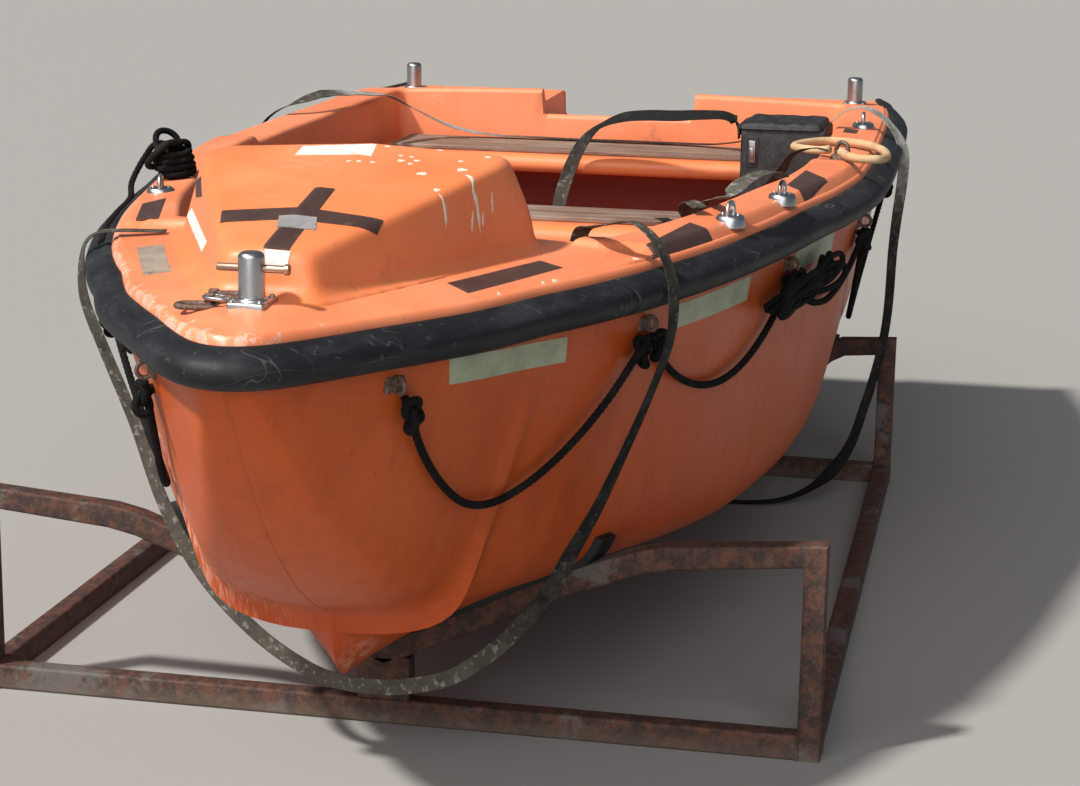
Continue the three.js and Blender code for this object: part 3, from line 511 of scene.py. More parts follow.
wall = raised(loop[:, None] - loop_out[:, None] * inset[..., None], levels)
middle = raised(np.clip(loop, (TRANSOM + 0.4, 0), (BULKHEAD - 0.4, 0)), SOLE)
sole = middle[:, None] + (wall[:, :1] - middle[:, None]) * np.linspace(0, 1, 7)[None, :-1, None]
parts = [sole, wall, lip, deck, rolled]
margin = np.clip(1 - wide * (1 - share) / 0.05, 0, 1)
# Painted shade: the mark `inside` is 1 on the cockpit's sole and rises on its walls below the bench tops,
# where the cockpit is darkened.
shade_below_benches = np.clip((0.95 - levels) / 0.12, 0, 1)
edge, inside = (np.hstack([np.broadcast_to(mark, part.shape[:2]) for mark, part in zip(marks, parts)])
                for marks in ((0, 0, 0, margin * 0.7, 1), (1, shade_below_benches, 0, 0, 0)))
moulding = surface("deck", np.concatenate(parts, 1), round_u=True, flip=True, sharp=50,
                   edge=[edge], inside=[inside])
moulding.modifiers.new("wall", "SOLIDIFY").thickness = 0.004

deck_orange, tree, shader, spot, look, color = gelcoat(
    "deck_gelcoat", (0.76, 0.215, 0.090), (0.81, 0.28, 0.14), (0.42, 0.13, 0.07), 0.12, 0.12)
battered = window(tree, add(tree, "SeparateXYZ", {0: spot}).outputs[1], 0.22, 0.02)
at_edge = times(tree, add(tree, "Attribute", attribute_name="edge").outputs["Fac"], battered)
painted_cockpit_shade = add(tree, "Attribute", attribute_name="inside").outputs["Fac"]
chips = window(tree, more(tree, noise(tree, spot, 26, 5, 0.72), at_edge, 0.20), 0.66, 0.74)
color = blend(tree, chips, color, (0.80, 0.56, 0.46), 0.55)
dirt = window(tree, more(tree, noise(tree, spot, 13, 5, 0.7), at_edge, 0.13), 0.62, 0.76)
color = blend(tree, dirt, color, (0.20, 0.095, 0.060), 0.5)
# Painted shade: the cockpit's sole and its walls below the benches are coloured a deep dark red.
color = blend(tree, painted_cockpit_shade, color, (0.20, 0.018, 0.009), 0.92)
gelcoat_last(tree, shader, look, color)
fit(moulding, deck_orange, "orange_grp", "deck_moulding", "deck_moulding_fore", "deck_moulding_aft")


# House: a small raised shelter on the foredeck, one moulding with soft edges, a sloped front, leaning
# sides and a crowned roof with a V crease. It is flanged and bonded to the foredeck.
HOUSE_MIDDLE, SHARPNESS, FLARE = np.array([1.50, 0.0, 1.060]), 34, 0.028
HOUSE_ROOF = [((1.300, 0.276, 1.271), (1.160, 0, 1.301), (1.534, 0, 1.261)),
              ((1.872, 0.088, 1.186), (1.534, 0, 1.261), (1.300, 0.276, 1.271))]
HOUSE_SIDES = [((1.885, 0.118, 1.064), (1.230, 0.386, 1.064), (1.300, 0.280, 1.271)),
               ((1.885, 0.118, 1.064), (1.856, 0.113, 1.188), (1.300, 0.280, 1.271)),
               ((1.230, 0.386, 1.064), (1.150, 0.386, 1.064), (1.215, 0.292, 1.270))]
HOUSE_STARBOARD = [((1.748, -0.165, 1.090), (1.220, -0.411, 1.090), (1.254, -0.353, 1.250)),
                   ((1.220, -0.411, 1.090), (1.140, -0.411, 1.090), (1.200, -0.350, 1.250))]
HOUSE_ENDS = [((1.902, 0.10, 1.064), (1.902, -0.10, 1.064), (1.874, 0, 1.187)),
              ((1.136, 0.30, 1.064), (1.136, -0.30, 1.064), (1.156, 0, 1.301))]


def planes(corners, both=False):
    """Row per plane: its normal over its distance from the middle of the house, mirrored if asked."""
    p = np.array(corners) - HOUSE_MIDDLE
    normal = np.cross(p[:, 1] - p[:, 0], p[:, 2] - p[:, 0])
    over = normal / (normal * p[:, 0]).sum(1)[:, None]
    return np.concatenate([over, over * (1, -1, 1)]) if both else over


def house_radius(way):
    """Distance to the wall along unit directions: one over a power mean of the planes' share of the
    direction, which rounds the edges, while the roof's own planes meet in a crease."""
    roof = np.maximum((way @ planes(HOUSE_ROOF, True).T).max(-1), 1e-6)
    walls = np.maximum(way @ planes(HOUSE_SIDES + HOUSE_STARBOARD + HOUSE_ENDS).T, 1e-6)
    return (roof ** SHARPNESS + (walls ** SHARPNESS).sum(-1)) ** (-1 / SHARPNESS)


heading = np.linspace(0, 2 * math.pi, 240, endpoint=False)[:, None]
rise = np.concatenate([np.linspace(-0.06, 0.75, 64), np.linspace(0.75, math.pi / 2, 36)[1:]])
way = raised(np.cos(rise)[:, None] * np.stack([np.cos(heading), np.sin(heading)], -1), np.sin(rise))
wall = HOUSE_MIDDLE + way * house_radius(way)[..., None]
high = wall[..., 2] - deck_height(wall[..., 0], wall[..., 1])
flare = FLARE - np.sqrt(np.clip(FLARE ** 2 - np.clip(FLARE - high, 0, FLARE) ** 2, 0, None))
wall[..., :2] += unit(way[..., :2]) * np.where(rise < 1.2, flare, 0)[..., None]
wall[..., 2] = np.maximum(wall[..., 2], deck_height(wall[..., 0], wall[..., 1]) - 0.003)
house = surface("house_shell", wall, round_u=True)
house.modifiers.new("wall", "SOLIDIFY").thickness = 0.006

house_orange, tree, shader, spot, look, color = gelcoat(
    "house_gelcoat", (0.78, 0.205, 0.068), (0.82, 0.265, 0.115), (0.45, 0.15, 0.08), 0.14, 0.12)
color = blend(tree, patches(tree, spot, 9, 5, 0.7, 0.56, 0.78), color, (0.24, 0.12, 0.075), 0.30)
gelcoat_last(tree, shader, look, color)
fit(house, house_orange, "orange_grp", "house")


# Fender: hollow D-section rubber round the deck edge in five lengths, screwed through to the upright
# band of the hull, with plain butt joints.
FENDER_BELOW, JOIN_BOW, JOIN_QUARTER, TAIL, GAP = 0.028, 1.300, -0.650, -2.170, 0.0003
FENDER = np.array([(-5, -31), (6, -35.5), (12, -36), (24, -34.5), (35, -30), (45, -23), (52, -14.5),
                   (55.5, -5.5), (56, 0), (55.5, 6), (52, 14.5), (45, 22), (35, 28), (24, 33), (12, 39),
                   (6, 41), (-5, 38)]) / 1000
rubber, tree, shader, spot = finish("weathered_rubber", (0.020, 0.023, 0.026), 0.6, Specular_IOR_Level=0.28)
look = place(tree, weather, Place=spot)
bloom = patches(tree, stretch(tree, spot, (1.2, 1.2, 6)), 5, 5, 0.65, 0.38, 0.72)
color = blend(tree, bloom, (0.008, 0.009, 0.011), (0.021, 0.023, 0.027))
color = blend(tree, look["Speck"], color, (0.15, 0.13, 0.11), 0.35)
color = blend(tree, look["Scratch"], color, (0.24, 0.24, 0.23), 0.25)
high = more(tree, times(tree, look["Grain"], 0.25), look["Scratch"], -0.4)
dress(tree, shader, color, more(tree, 0.52, bloom, 0.16), high, 0.0008)


def fender(name, edge, normal):
    """The D profile carried along the deck edge, with both ends closed to their middle."""
    out = edge[:, None] + normal[:, None] * FENDER[:, :1]
    rings = raised(out, sheer(edge[:, :1]) - FENDER_BELOW + FENDER[:, 1])
    fit(solid(name, capped(rings), sharp=50), rubber, "rubber", name.replace("rubber_", "fender_"))


bow_x = NOSE - (NOSE - JOIN_BOW - GAP) * (1 - np.sin(np.linspace(0, 1, 160) * math.pi / 2))
edge = np.stack([bow_x, fair(1, bow_x)], -1)
edge[-1, 1] = 0
edge = np.concatenate([edge, edge[-2::-1] * mirror])
normal = outward(edge) * -1
normal[[0, -1]] = [(0, 1), (0, -1)]
fender("rubber_bow", edge, normal * np.sign((normal * (edge - [1.2, 0])).sum(1))[:, None])
for side, word in ((1, "port"), (-1, "stbd")):
    for part, start, end in (("", JOIN_BOW, JOIN_QUARTER), ("quarter_", JOIN_QUARTER, TAIL)):
        run = np.linspace(start - GAP, end + GAP * (part == ""), 90)
        edge = np.stack([run, side * fair(1, run)], -1)
        normal = outward(edge)
        normal *= side * np.sign(normal[:, 1:])
        normal[[0, -1]] = (0, side)
        fender(f"rubber_{part}{word}", edge, normal)

# Shared by the fittings: blocks with rounded edges, turned posts, and tubes along a line.
def rounded(steps):
    """Directions round a rounded rectangle, in steps at each corner, and the signs of that corner."""
    corner = np.repeat([(1, 1), (-1, 1), (-1, -1), (1, -1)], steps, 0)
    turn = (np.linspace(0, math.pi / 2, steps) + np.arange(4)[:, None] * math.pi / 2).ravel()
    return np.stack([np.cos(turn), np.sin(turn)], -1), corner


def block(low, high, radius, steps=5):
    """Rounded box as rings of a rounded rectangle: at the angle p its inset and its height follow a
    circle of the radius, r cos p out and r sin p up, and both ends close to their middle."""
    low, high = np.array(low), np.array(high)
    middle, half = (low + high) / 2, (high - low) / 2
    way, corner = rounded(steps)
    up = np.repeat([-1, 1], steps)[:, None]
    p = np.concatenate([np.linspace(-math.pi / 2, 0, steps), np.linspace(0, math.pi / 2, steps)])[:, None]
    flat = middle[:2] + corner * (half[:2] - radius) + way * radius * np.cos(p)[..., None]
    return capped(raised(flat, middle[2] + up * (half[2] - radius) + radius * np.sin(p)))


def lathe(profile, sides=48):
    """Rings of a profile of (radius, height) turned about an upright axis."""
    a = np.linspace(0, 2 * math.pi, sides, endpoint=False)[None, :]
    r, z = np.array(profile, float).T[:, :, None]
    return np.stack([r * np.cos(a), r * np.sin(a), z + 0 * a], -1)


def pipe(line, radius, sides=16, closed=False):
    """Rings of a tube along a line. Its normals are the first one carried on with no twist, and a
    closed line spreads what is left over its whole length. The radius may change over the rings."""
    run = unit(np.roll(line, -1, 0) - np.roll(line, 1, 0)) if closed else unit(np.gradient(line, axis=0))
    first = np.cross(run[0], (0, 0, 1) if abs(run[0][2]) < 0.8 else (1, 0, 0))
    normal = [unit(first)]
    for way in run[1:]:
        normal.append(unit(normal[-1] - way * (normal[-1] @ way)))
    normal = np.array(normal)
    other = np.cross(run, normal)
    if closed:
        back = unit(normal[-1] - run[0] * (normal[-1] @ run[0]))
        turn = -math.atan2(back @ other[0], back @ normal[0]) * np.arange(len(line))[:, None] / len(line)
        c, s = np.cos(turn), np.sin(turn)
        normal, other = c * normal + s * other, c * other - s * normal
    a = np.linspace(0, 2 * math.pi, sides, endpoint=False)
    r = np.broadcast_to(radius, (len(line), sides))[..., None]
    rings = line[:, None] + r * (normal[:, None] * np.cos(a)[:, None] + other[:, None] * np.sin(a)[:, None])
    if closed:
        return np.concatenate([rings, rings[:1]])
    ends = np.repeat(line[[0, -1], None], sides, 1)
    return np.concatenate([ends[:1], rings, ends[1:]])


def spline(points, spacing):
    """Centripetal Catmull-Rom line through points at an even spacing: the knots are the square roots of
    the distances. Columns past the third run straight from point to point."""
    p = np.array(points, float)
    xyz = np.concatenate([2 * p[:1, :3] - p[1:2, :3], p[:, :3], 2 * p[-1:, :3] - p[-2:-1, :3]])
    knot = np.sqrt(np.linalg.norm(np.diff(xyz, axis=0), axis=1))[:, None]
    a, b, c, d = xyz[:-3], xyz[1:-2], xyz[2:-1], xyz[3:]
    before, here, after = knot[:-2], knot[1:-1], knot[2:]
    start = here * ((b - a) / before - (c - a) / (before + here) + (c - b) / here)
    stop = here * ((c - b) / here - (d - b) / (here + after) + (d - c) / after)
    t = np.linspace(0, 1, 24, endpoint=False)[None, :, None]
    b, c, start, stop = (v[:, None] for v in (b, c, start, stop))
    curve = b + start * t + (3 * (c - b) - 2 * start - stop) * t ** 2 + (2 * (b - c) + start + stop) * t ** 3
    extra = p[:-1, None, 3:] + (p[1:, None, 3:] - p[:-1, None, 3:]) * t
    line = np.vstack([np.concatenate([curve, extra], -1).reshape(-1, p.shape[1]), p[-1]])
    return evenly(line, np.linspace(0, 1, max(int(way_along(line)[-1] / spacing), 4) + 1))


def set_down(rings, turn, at, side=1):
    """Points turned about the upright axis, moved to a place, and mirrored for starboard."""
    c, s = math.cos(turn), math.sin(turn)
    x, y, z = np.moveaxis(rings, -1, 0)
    return np.stack([c * x - s * y + at[0], side * (s * x + c * y + at[1]), z + at[2]], -1)


# Benches: moulded boards with a rounded lip across the cockpit, glassed to its walls, each with slats
# of weathered hardwood on top, screwed down near their ends.
def wall_half(x, z):
    """Half width of the cockpit at a height: the rim at the top, leaning in to the sole."""
    return rim(x) - wall_lean(x) * np.interp(z, [WALL_LOW, WALL_TOP], [1, 0])


wood, tree, shader, spot = finish("weathered_wood", (0.24, 0.15, 0.10), 0.75)
board = add(tree, "Attribute", attribute_name="board").outputs["Fac"]
apart = add(tree, "CombineXYZ", {1: board, 2: board}).outputs[0]
shifted = add(tree, "VectorMath", {0: spot, 1: apart}, operation="ADD").outputs[0]
grain = noise(tree, stretch(tree, shifted, (95, 2.4, 60)), 1.0, 6, 0.66)
pores = patches(tree, stretch(tree, shifted, (420, 9, 200)), 1.0, 3, 0.6, 0.60, 0.70)
color = blend(tree, window(tree, grain, 0.30, 0.72), (0.105, 0.058, 0.040), (0.30, 0.185, 0.130))
color = blend(tree, patches(tree, shifted, 4, 4, 0.6, 0.42, 0.70), color, (0.34, 0.27, 0.22), 0.55)
color = blend(tree, pores, color, (0.035, 0.022, 0.018), 0.7)
color = blend(tree, board, color, (0.13, 0.075, 0.055), 0.25)
dress(tree, shader, color, more(tree, 0.62, grain, 0.2), more(tree, grain, pores, -0.5), 0.0012)

across_board = np.linspace(-1, 1, 65)[:, None]
for name, x0, x1, top, thick, slats in (("mid_thwart", -0.360, -0.100, 0.940, 0.080, 3),
                                        ("aft_thwart", TRANSOM + 0.001, -1.420, 0.945, 0.055, 4)):
    r = thick / 2
    bend = np.linspace(math.pi / 2, -math.pi / 2, 17)
    flat_x = np.linspace(x0, x1 - 0.03, 8)
    px = np.concatenate([flat_x, x1 - 0.016 + r * np.cos(bend), flat_x[::-1]])
    pz = np.concatenate([np.full(8, top), top - r + r * np.sin(bend), np.full(8, top - thick)])
    half = across_board * (wall_half(px, pz) - GLUE)
    bench = capped(np.stack([px + 0 * half, half, pz + 0 * half], -1))
    fit(solid(name + "_board", bench, sharp=50), house_orange, "orange_grp", name)
    pitch = (x1 - x0 - 0.070) / slats
    reach = min(rim(x0), rim(x1)) - 0.040
    boards = []
    for i in range(slats):
        lo = x0 + 0.020 + i * pitch + 0.003
        slat = block((lo, -reach, top + GLUE), (lo + pitch - 0.006, reach, top + 0.0144), 0.0035)
        slat[..., 2] += 0.0008 * np.sin(7 * slat[..., 1] + 2.1 * i) * (slat[..., 2] > top + 0.007)
        boards.append(slat)
    marks = [np.full(grid.shape[:2], (0.37 * i + 0.2 * slats) % 1) for i, grid in enumerate(boards)]
    fit(solid(name + "_wood", *boards, sharp=50, board=marks), wood, "wood", name + "_slats")

# Steel: stainless posts and fittings, dulled by salt, and a rusty kind for shackles and links.
steel, tree, shader, spot = finish("satin_steel", (0.46, 0.48, 0.50), 0.34, Metallic=1.0)
look = place(tree, weather, Place=spot)
brushed = noise(tree, stretch(tree, spot, (30, 30, 900)), 1.0, 3, 0.6)
color = blend(tree, look["Cloud"], (0.50, 0.52, 0.54), (0.36, 0.37, 0.38))
color = blend(tree, look["Speck"], color, (0.20, 0.12, 0.08), 0.6)
dress(tree, shader, color, more(tree, 0.24, brushed, 0.20), brushed, 0.0002)

rusty, tree, shader, spot = finish("rusty_fittings", (0.22, 0.12, 0.08), 0.7, Metallic=0.55)
crust = noise(tree, spot, 120, 5, 0.7)
color = blend(tree, window(tree, crust, 0.40, 0.62), (0.17, 0.135, 0.115), (0.11, 0.050, 0.028))
color = blend(tree, patches(tree, spot, 300, 3, 0.6, 0.58, 0.70), color, (0.25, 0.115, 0.055))
dress(tree, shader, color, more(tree, 0.40, crust, 0.5), crust, 0.0012)

# Bollards: steel tube posts with rounded caps, welded to plates that are bolted through the deck. The
# one at the bow has a cross pin with a flat head.
def post(high, r):
    """Turned post: straight side, and a cap that curves in as a quarter ellipse."""
    bend = np.linspace(0, math.pi / 2, 9)
    cap_r, cap_z = r - 0.012 + 0.012 * np.cos(bend), high - 0.011 + 0.011 * np.sin(bend)
    weld = [(r + 0.006, 0.004), (r + 0.0055, 0.007), (r + 0.003, 0.0095), (r, 0.0105)]
    return lathe([(0, 0), (r + 0.006, 0), *weld, (r, high / 2), *zip(cap_r, cap_z), (0, high)])


def bolts(places, z, size=0.0065):
    """Domed bolt heads on their washers."""
    head = lathe([(0, 0), (size * 1.5, 0), (size * 1.5, 0.0012), (size, 0.0016), (size * 0.9, 0.004),
                  (size * 0.5, 0.0055), (0, 0.006)], 20)
    return [head + (x, y, z) for x, y in places]


def plate(x, y, top, half, bolt, thick, radius):
    """Plate below a height, with a bolt near each of its corners."""
    heads = bolts([(x + i * bolt[0], y + j * bolt[1]) for i in (-1, 1) for j in (-1, 1)], top, 0.005)
    return block((x - half[0], y - half[1], top - thick), (x + half[0], y + half[1], top), radius), *heads


BOW_X = 1.956
base = on_deck(BOW_X, 0.0) + 0.002
feet = plate(BOW_X, 0, base + 0.006, (0.042, 0.034), (0.034, 0.026), 0.020, 0.004)
fit(solid("bow_post", post(0.092, 0.024) + (BOW_X, 0, base), *feet, sharp=40), steel, "steel", "bow_bollard")
bar = lathe([(0, -0.064), (0.0058, -0.064), (0.0072, -0.062), (0.0072, 0.062), (0.0096, 0.062),
             (0.0100, 0.0628), (0.0100, 0.0692), (0.0092, 0.070), (0, 0.070)], 28)
bar = bar[..., [0, 2, 1]] + (BOW_X, 0, base + 0.062)
brass, tree, shader, spot = finish("dull_brass", (0.55, 0.36, 0.26), 0.42, Metallic=0.9)
stain = noise(tree, spot, 60, 4, 0.6)
color = blend(tree, stain, (0.62, 0.42, 0.33), (0.30, 0.16, 0.10))
dress(tree, shader, color, more(tree, 0.25, stain, 0.3), stain, 0.0004)
fit(solid("bow_pin", bar, sharp=40), brass, "steel", "bow_bollard_pin")
for side, word in ((1, "port"), (-1, "stbd")):
    x, y = -2.001, side * 0.752
    z = on_deck(x, y) + 0.004
    feet = plate(x, y, z + 0.004, (0.038, 0.038), (0.029, 0.029), 0.0105, 0.003)
    fit(solid("stern_post_" + word, post(0.088, 0.025) + (x, y, z), *feet, sharp=40),
        steel, "steel", "stern_bollard_" + word)

# Deck eyes: bent rod arches welded to round feet, screwed to the side decks. The one aft on the port
# side holds the rope sling.
def eye(span, high, r):
    """The arch of rod over a round foot, with two screw heads."""
    half = np.array([(0.5, -0.004 / high), (0.5, 0.6), (0.25, 1)])
    arch = np.concatenate([half * (-1, 1), half[::-1]]) @ [[span, 0, 0], [0, 0, high]]
    wide = span / 2 + 0.010
    foot = lathe([(0, -0.022), (wide + 0.004, -0.022), (wide + 0.003, -0.006), (wide, 0.002),
                  (wide - 0.003, 0.004), (0, 0.004)], 36)
    return pipe(spline(arch, 0.003), r, 14), foot, *bolts([(0, -0.018), (0, 0.018)], 0.0035, 0.0034)


def heading_of_edge(x, reach):
    """Angle of the port deck edge to the middle line, over a reach to both sides."""
    return math.atan2(fair(1, x + reach) - fair(1, x - reach), 2 * reach)


for name, x, y, up in (("port_fore", 0.712, 0.688, 0.056), ("port_aft", 0.355, 0.764, 0.056),
                       ("port_quarter", -1.215, 0.838, 0.042), ("stbd", 0.690, -0.650, 0.056)):
    slope = math.copysign(1, y) * heading_of_edge(x, 0.05)
    parts = [set_down(grid, slope, (x, y, sheer(x) + up + 0.0014)) for grid in eye(0.040, 0.030, 0.005)]
    fit(solid("eye_" + name, *parts, sharp=45), steel, "steel", "deck_eye_" + name)
at = (-0.461, 0.837, sheer(-0.470) + 0.048)
parts = [set_down(grid, math.radians(60), at) for grid in eye(0.036, 0.034, 0.006)]
fit(solid("eye_sling", *parts, sharp=45), rusty, "steel", "deck_shackle")

# Bow gear: an oval link, a shackle and a short chain that lie on the deck by the bow bollard.
def oval(long, wide, r, sides=12, count=44):
    """Ring of rod whose middle line is an ellipse raised to the power 0.8."""
    a = np.linspace(0, 2 * math.pi, count, endpoint=False)
    c, s = np.cos(a), np.sin(a)
    line = np.stack([long * np.sign(c) * np.abs(c) ** 0.8, wide * np.sign(s) * np.abs(s) ** 0.8, 0 * a], -1)
    return pipe(line, r, sides, closed=True)


def lay_down(rings, degrees, x, y, up):
    """Rings turned and laid on the deck."""
    return set_down(rings, math.radians(degrees), (x, y, on_deck(x, y) + up))


link = lay_down(oval(0.037, 0.019, 0.0055), 96, 1.966, -0.098, 0.0060)
fit(solid("link_ring", link), rusty, "steel", "bow_link")
bright = lay_down(oval(0.024, 0.015, 0.0036), 72, 1.972, -0.060, 0.0150)
fit(solid("link_bright", bright), steel, "steel")
PIN_X = -0.034
bend = np.linspace(0, math.pi, 25)
bow_line = np.stack([0.026 * np.sin(bend), -0.021 * np.cos(bend), 0 * bend], -1)
bow_line = np.concatenate([[(-0.030, -0.021, 0)], bow_line, [(-0.030, 0.021, 0)]])
pin_line = np.array([(PIN_X, y, 0) for y in (-0.034, 0, 0.034)])
shackle = [pipe(bow_line, 0.0062, 14), pipe(pin_line, 0.0065, 14)]
for y in (-0.022, 0.022):
    shackle.append(block((PIN_X - 0.010, y - 0.006, -0.009), (PIN_X + 0.010, y + 0.006, 0.009), 0.004))
gear = [lay_down(grid, 100, 1.935, -0.046, 0.0080) for grid in shackle]
chain_line = spline([(1.945, -0.040, 0.024), (1.975, -0.046, 0.016), (1.988, -0.024, 0.022),
                     (1.984, -0.012, 0.038)], 0.0118)
chain_ring = oval(0.0085, 0.0050, 0.0022, 8, 20)
for i, ((x, y, z), (run_x, run_y, _)) in enumerate(zip(chain_line, np.gradient(chain_line, axis=0))):
    ring = chain_ring[..., [0, 2, 1]] if i % 2 else chain_ring
    gear.append(set_down(ring, math.atan2(run_y, run_x), (x, y, sheer(x) + z + 0.022)))
fit(solid("bow_shackle", *gear, sharp=45), rusty, "steel")

# Line eyes: rings welded to pads under the fender, through-bolted to the hull. The grab line is tied
# to each.
def side_y(x, z):
    """Half width of the hull at places along it and heights, straight between the section's points."""
    ys, zs = half_section(x, SIDE_STEPS)
    i = np.clip((zs < z[:, None]).sum(1), 1, zs.shape[1] - 1)[:, None]
    below, above = np.take_along_axis(zs, i - 1, 1), np.take_along_axis(zs, i, 1)
    t = (z[:, None] - below) / (above - below)
    return (np.take_along_axis(ys, i - 1, 1) * (1 - t) + np.take_along_axis(ys, i, 1) * t)[:, 0]


LINE_EYES, EYE_DROP = np.array([1.850, 1.170, 0.400, -0.300, -1.370]), 0.098
eye_y = side_y(LINE_EYES, sheer(LINE_EYES) - EYE_DROP)
turn = np.linspace(0, 2 * math.pi, 32, endpoint=False)
ring = 0.015 * np.stack([0 * turn, 1 + np.cos(turn), np.sin(turn)], -1)
ring = pipe(ring, 0.0045, 12, closed=True)
pad = block((-0.022, -0.008, -0.016), (0.022, 0.005, 0.016), 0.0035)
for side, word in ((1, "port"), (-1, "stbd")):
    for i, x in enumerate(LINE_EYES):
        at = (x, eye_y[i] + 0.0005, sheer(x) - EYE_DROP)
        parts = [set_down(grid, heading_of_edge(x, 0.03), at, side) for grid in (ring, pad)]
        fit(solid(f"line_ring_{word}_{i + 1}", *parts, sharp=45), rusty, "steel", f"line_eye_{word}_{i + 1}")

# Grab lines: black laid rope in four loops a side, tied to the eyes with bulky knots. The loop nearest
# the stern hangs lowest, and on the port side the spare rope is gathered in two bundles.
rope_black, tree, shader, spot = finish("black_rope", (0.010, 0.010, 0.011), 0.9, Specular_IOR_Level=0.15)
fuzz = noise(tree, spot, 700, 3, 0.7)
color = blend(tree, window(tree, fuzz, 0.40, 0.75), (0.004, 0.004, 0.0045), (0.017, 0.016, 0.016))
color = blend(tree, patches(tree, spot, 14, 3, 0.6, 0.52, 0.72), color, (0.034, 0.029, 0.024), 0.4)
dress(tree, shader, color, 0.9, fuzz, 0.0015)


def laid(line, radius, pitch, sides=18):
    """Three-strand rope: the radius is r (0.84 + 0.16 |cos 1.5 (a - 2 pi s / pitch)|) at the angle a and
    the way s along the line."""
    s = way_along(line)[:, None]
    a = np.linspace(0, 2 * math.pi, sides, endpoint=False)[None, :]
    return pipe(line, radius * (0.84 + 0.16 * np.abs(np.cos(1.5 * (a - 2 * math.pi * s / pitch)))), sides)


def knot(at, size, r, tilt, side):
    """Overhand knot, a trefoil line (sin t + 2 sin 2t, -sin 3t, cos t - 2 cos 2t) with its flat side to
    the hull, turned in that plane and drawn out downwards."""
    t = np.linspace(0, 2 * math.pi, 150, endpoint=False)
    u, v, w = np.sin(t) + 2 * np.sin(2 * t), -np.sin(3 * t), np.cos(t) - 2 * np.cos(2 * t)
    c, s = math.cos(tilt), math.sin(tilt)
    line = np.stack([c * u - s * w * 1.25, v * 1.15, s * u + c * w * 1.25], -1) * size
    return pipe(line, r, 14, closed=True) * (1, side, 1) + at


DROPS, BUNDLE = [0.280, 0.175, 0.120, 0.330], {1: (0.485, 0.806, 0.890), 2: (0.245, 0.850, 0.895)}
BUNDLE_AXES = np.array([(-0.97, 0.22, 0.05), (0.22, 0.97, 0), (-0.05, -0.01, 0.99)])
for side, word in ((1, "port"), (-1, "stbd")):
    for i, drop in enumerate(DROPS):
        t = np.linspace(0, 1, 9)
        x = LINE_EYES[i] + (LINE_EYES[i + 1] - LINE_EYES[i]) * t
        x[0], x[-1] = x[0] - 0.006, x[-1] + 0.006
        first, second = sheer(LINE_EYES[i:i + 2]) - EYE_DROP
        z = first + (second - first) * t - 0.0265 - drop * (1 - (2 * t - 1) ** 2)
        y = side * (np.maximum(side_y(x, z), side_y(x, z + 0.03)) + 0.014)
        line = spline(np.stack([x, y, z], -1), 0.0025)
        cord = solid(f"rope_{word}_{i + 1}", laid(line, 0.0083, 0.040))
        fit(cord, rope_black, "rope", f"grab_line_{word}_{i + 1}")
        knots = []
        for end, k in ((0, 16), (1, -17)):
            grid = knot(line[k] + (0, side * 0.006, 0), 0.0088, 0.0078, 0.5 - end + 0.3 * i, side)
            knots.append(solid(f"knot_{word}_{i + 1}_{end}", grid))
        if word == "port" and i in BUNDLE:
            t = np.linspace(0, 2 * math.pi, 900, endpoint=False)
            aft_way = 0.105 * np.cos(7 * t) + 0.020 * np.sin(2 * t + i)
            side_way = 0.016 * np.sin(5 * t + i) + 0.012 * np.cos(9 * t)
            top_way = (0.020 * np.sin(7 * t + 0.6)
                       + 0.014 * np.cos(4 * t + 2 * i)) * (1 + 0.5 * np.cos(7 * t))
            loops = np.stack([aft_way, side_way, top_way], -1) @ BUNDLE_AXES + BUNDLE[i]
            knots.append(solid(f"rope_bundle_{i}", pipe(loops, 0.0075, 14, closed=True)))
        for piece in knots:
            fit(piece, rope_black, "rope")

# Console: a black covered box on the port side aft, with a padded lid on a barrel hinge along its
# outer edge and an over-centre latch on its forward face.
black, tree, shader, spot = finish("black_cover", (0.016, 0.016, 0.018), 0.6)
look = place(tree, weather, Place=spot)
leather = add(tree, "TexVoronoi", {"Vector": spot, "Scale": 260.0}, feature="DISTANCE_TO_EDGE").outputs[0]
folds = noise(tree, stretch(tree, spot, (9, 22, 12)), 2.0, 4, 0.6)
color = blend(tree, window(tree, folds, 0.42, 0.70), (0.010, 0.010, 0.011), (0.036, 0.036, 0.038), 0.7)
color = blend(tree, look["Speck"], color, (0.13, 0.12, 0.11), 0.4)
high = more(tree, folds, window(tree, leather, 0.0, 0.25), 0.12)
dress(tree, shader, color, more(tree, 0.40, folds, 0.3), high, 0.0035)

CX0, CX1, CY0, CY1, BOX_TOP = -1.395, -1.150, 0.480, 0.735, 1.086
low, high = np.array((CX0, CY0)), np.array((CX1, CY1))
away, sign = rounded(5)
levels = [(0.0, SOLE + GLUE), *[(0.0, z) for z in np.linspace(0.56, 1.080, 12)], (0.001, 1.084),
          (0.003, BOX_TOP), (0.009, BOX_TOP), (0.011, 1.084), (0.012, 1.075), (0.012, 0.60), (0.014, 0.582),
          (0.09, 0.580)]
inset, tall = np.array(levels).T[..., None]
r = np.maximum(0.014 - inset, 0.002)[..., None]
flat = (low + high) / 2 + sign * ((high - low) / 2 - inset[..., None] - r) + away * r
box = raised(flat, tall)
box[..., 1] = np.minimum(box[..., 1], wall_half(box[..., 0], box[..., 2]) - 0.001)
box = capped(box)
box[[0, -1], :, :2] = (low + high) / 2
strip = block((CX1 - 0.010, CY0 + 0.02, 0.97), (CX1 + 0.0015, CY0 + 0.055, 1.065), 0.003)
fit(solid("console_box", box, strip, sharp=45), black, "black_plastic", "console")

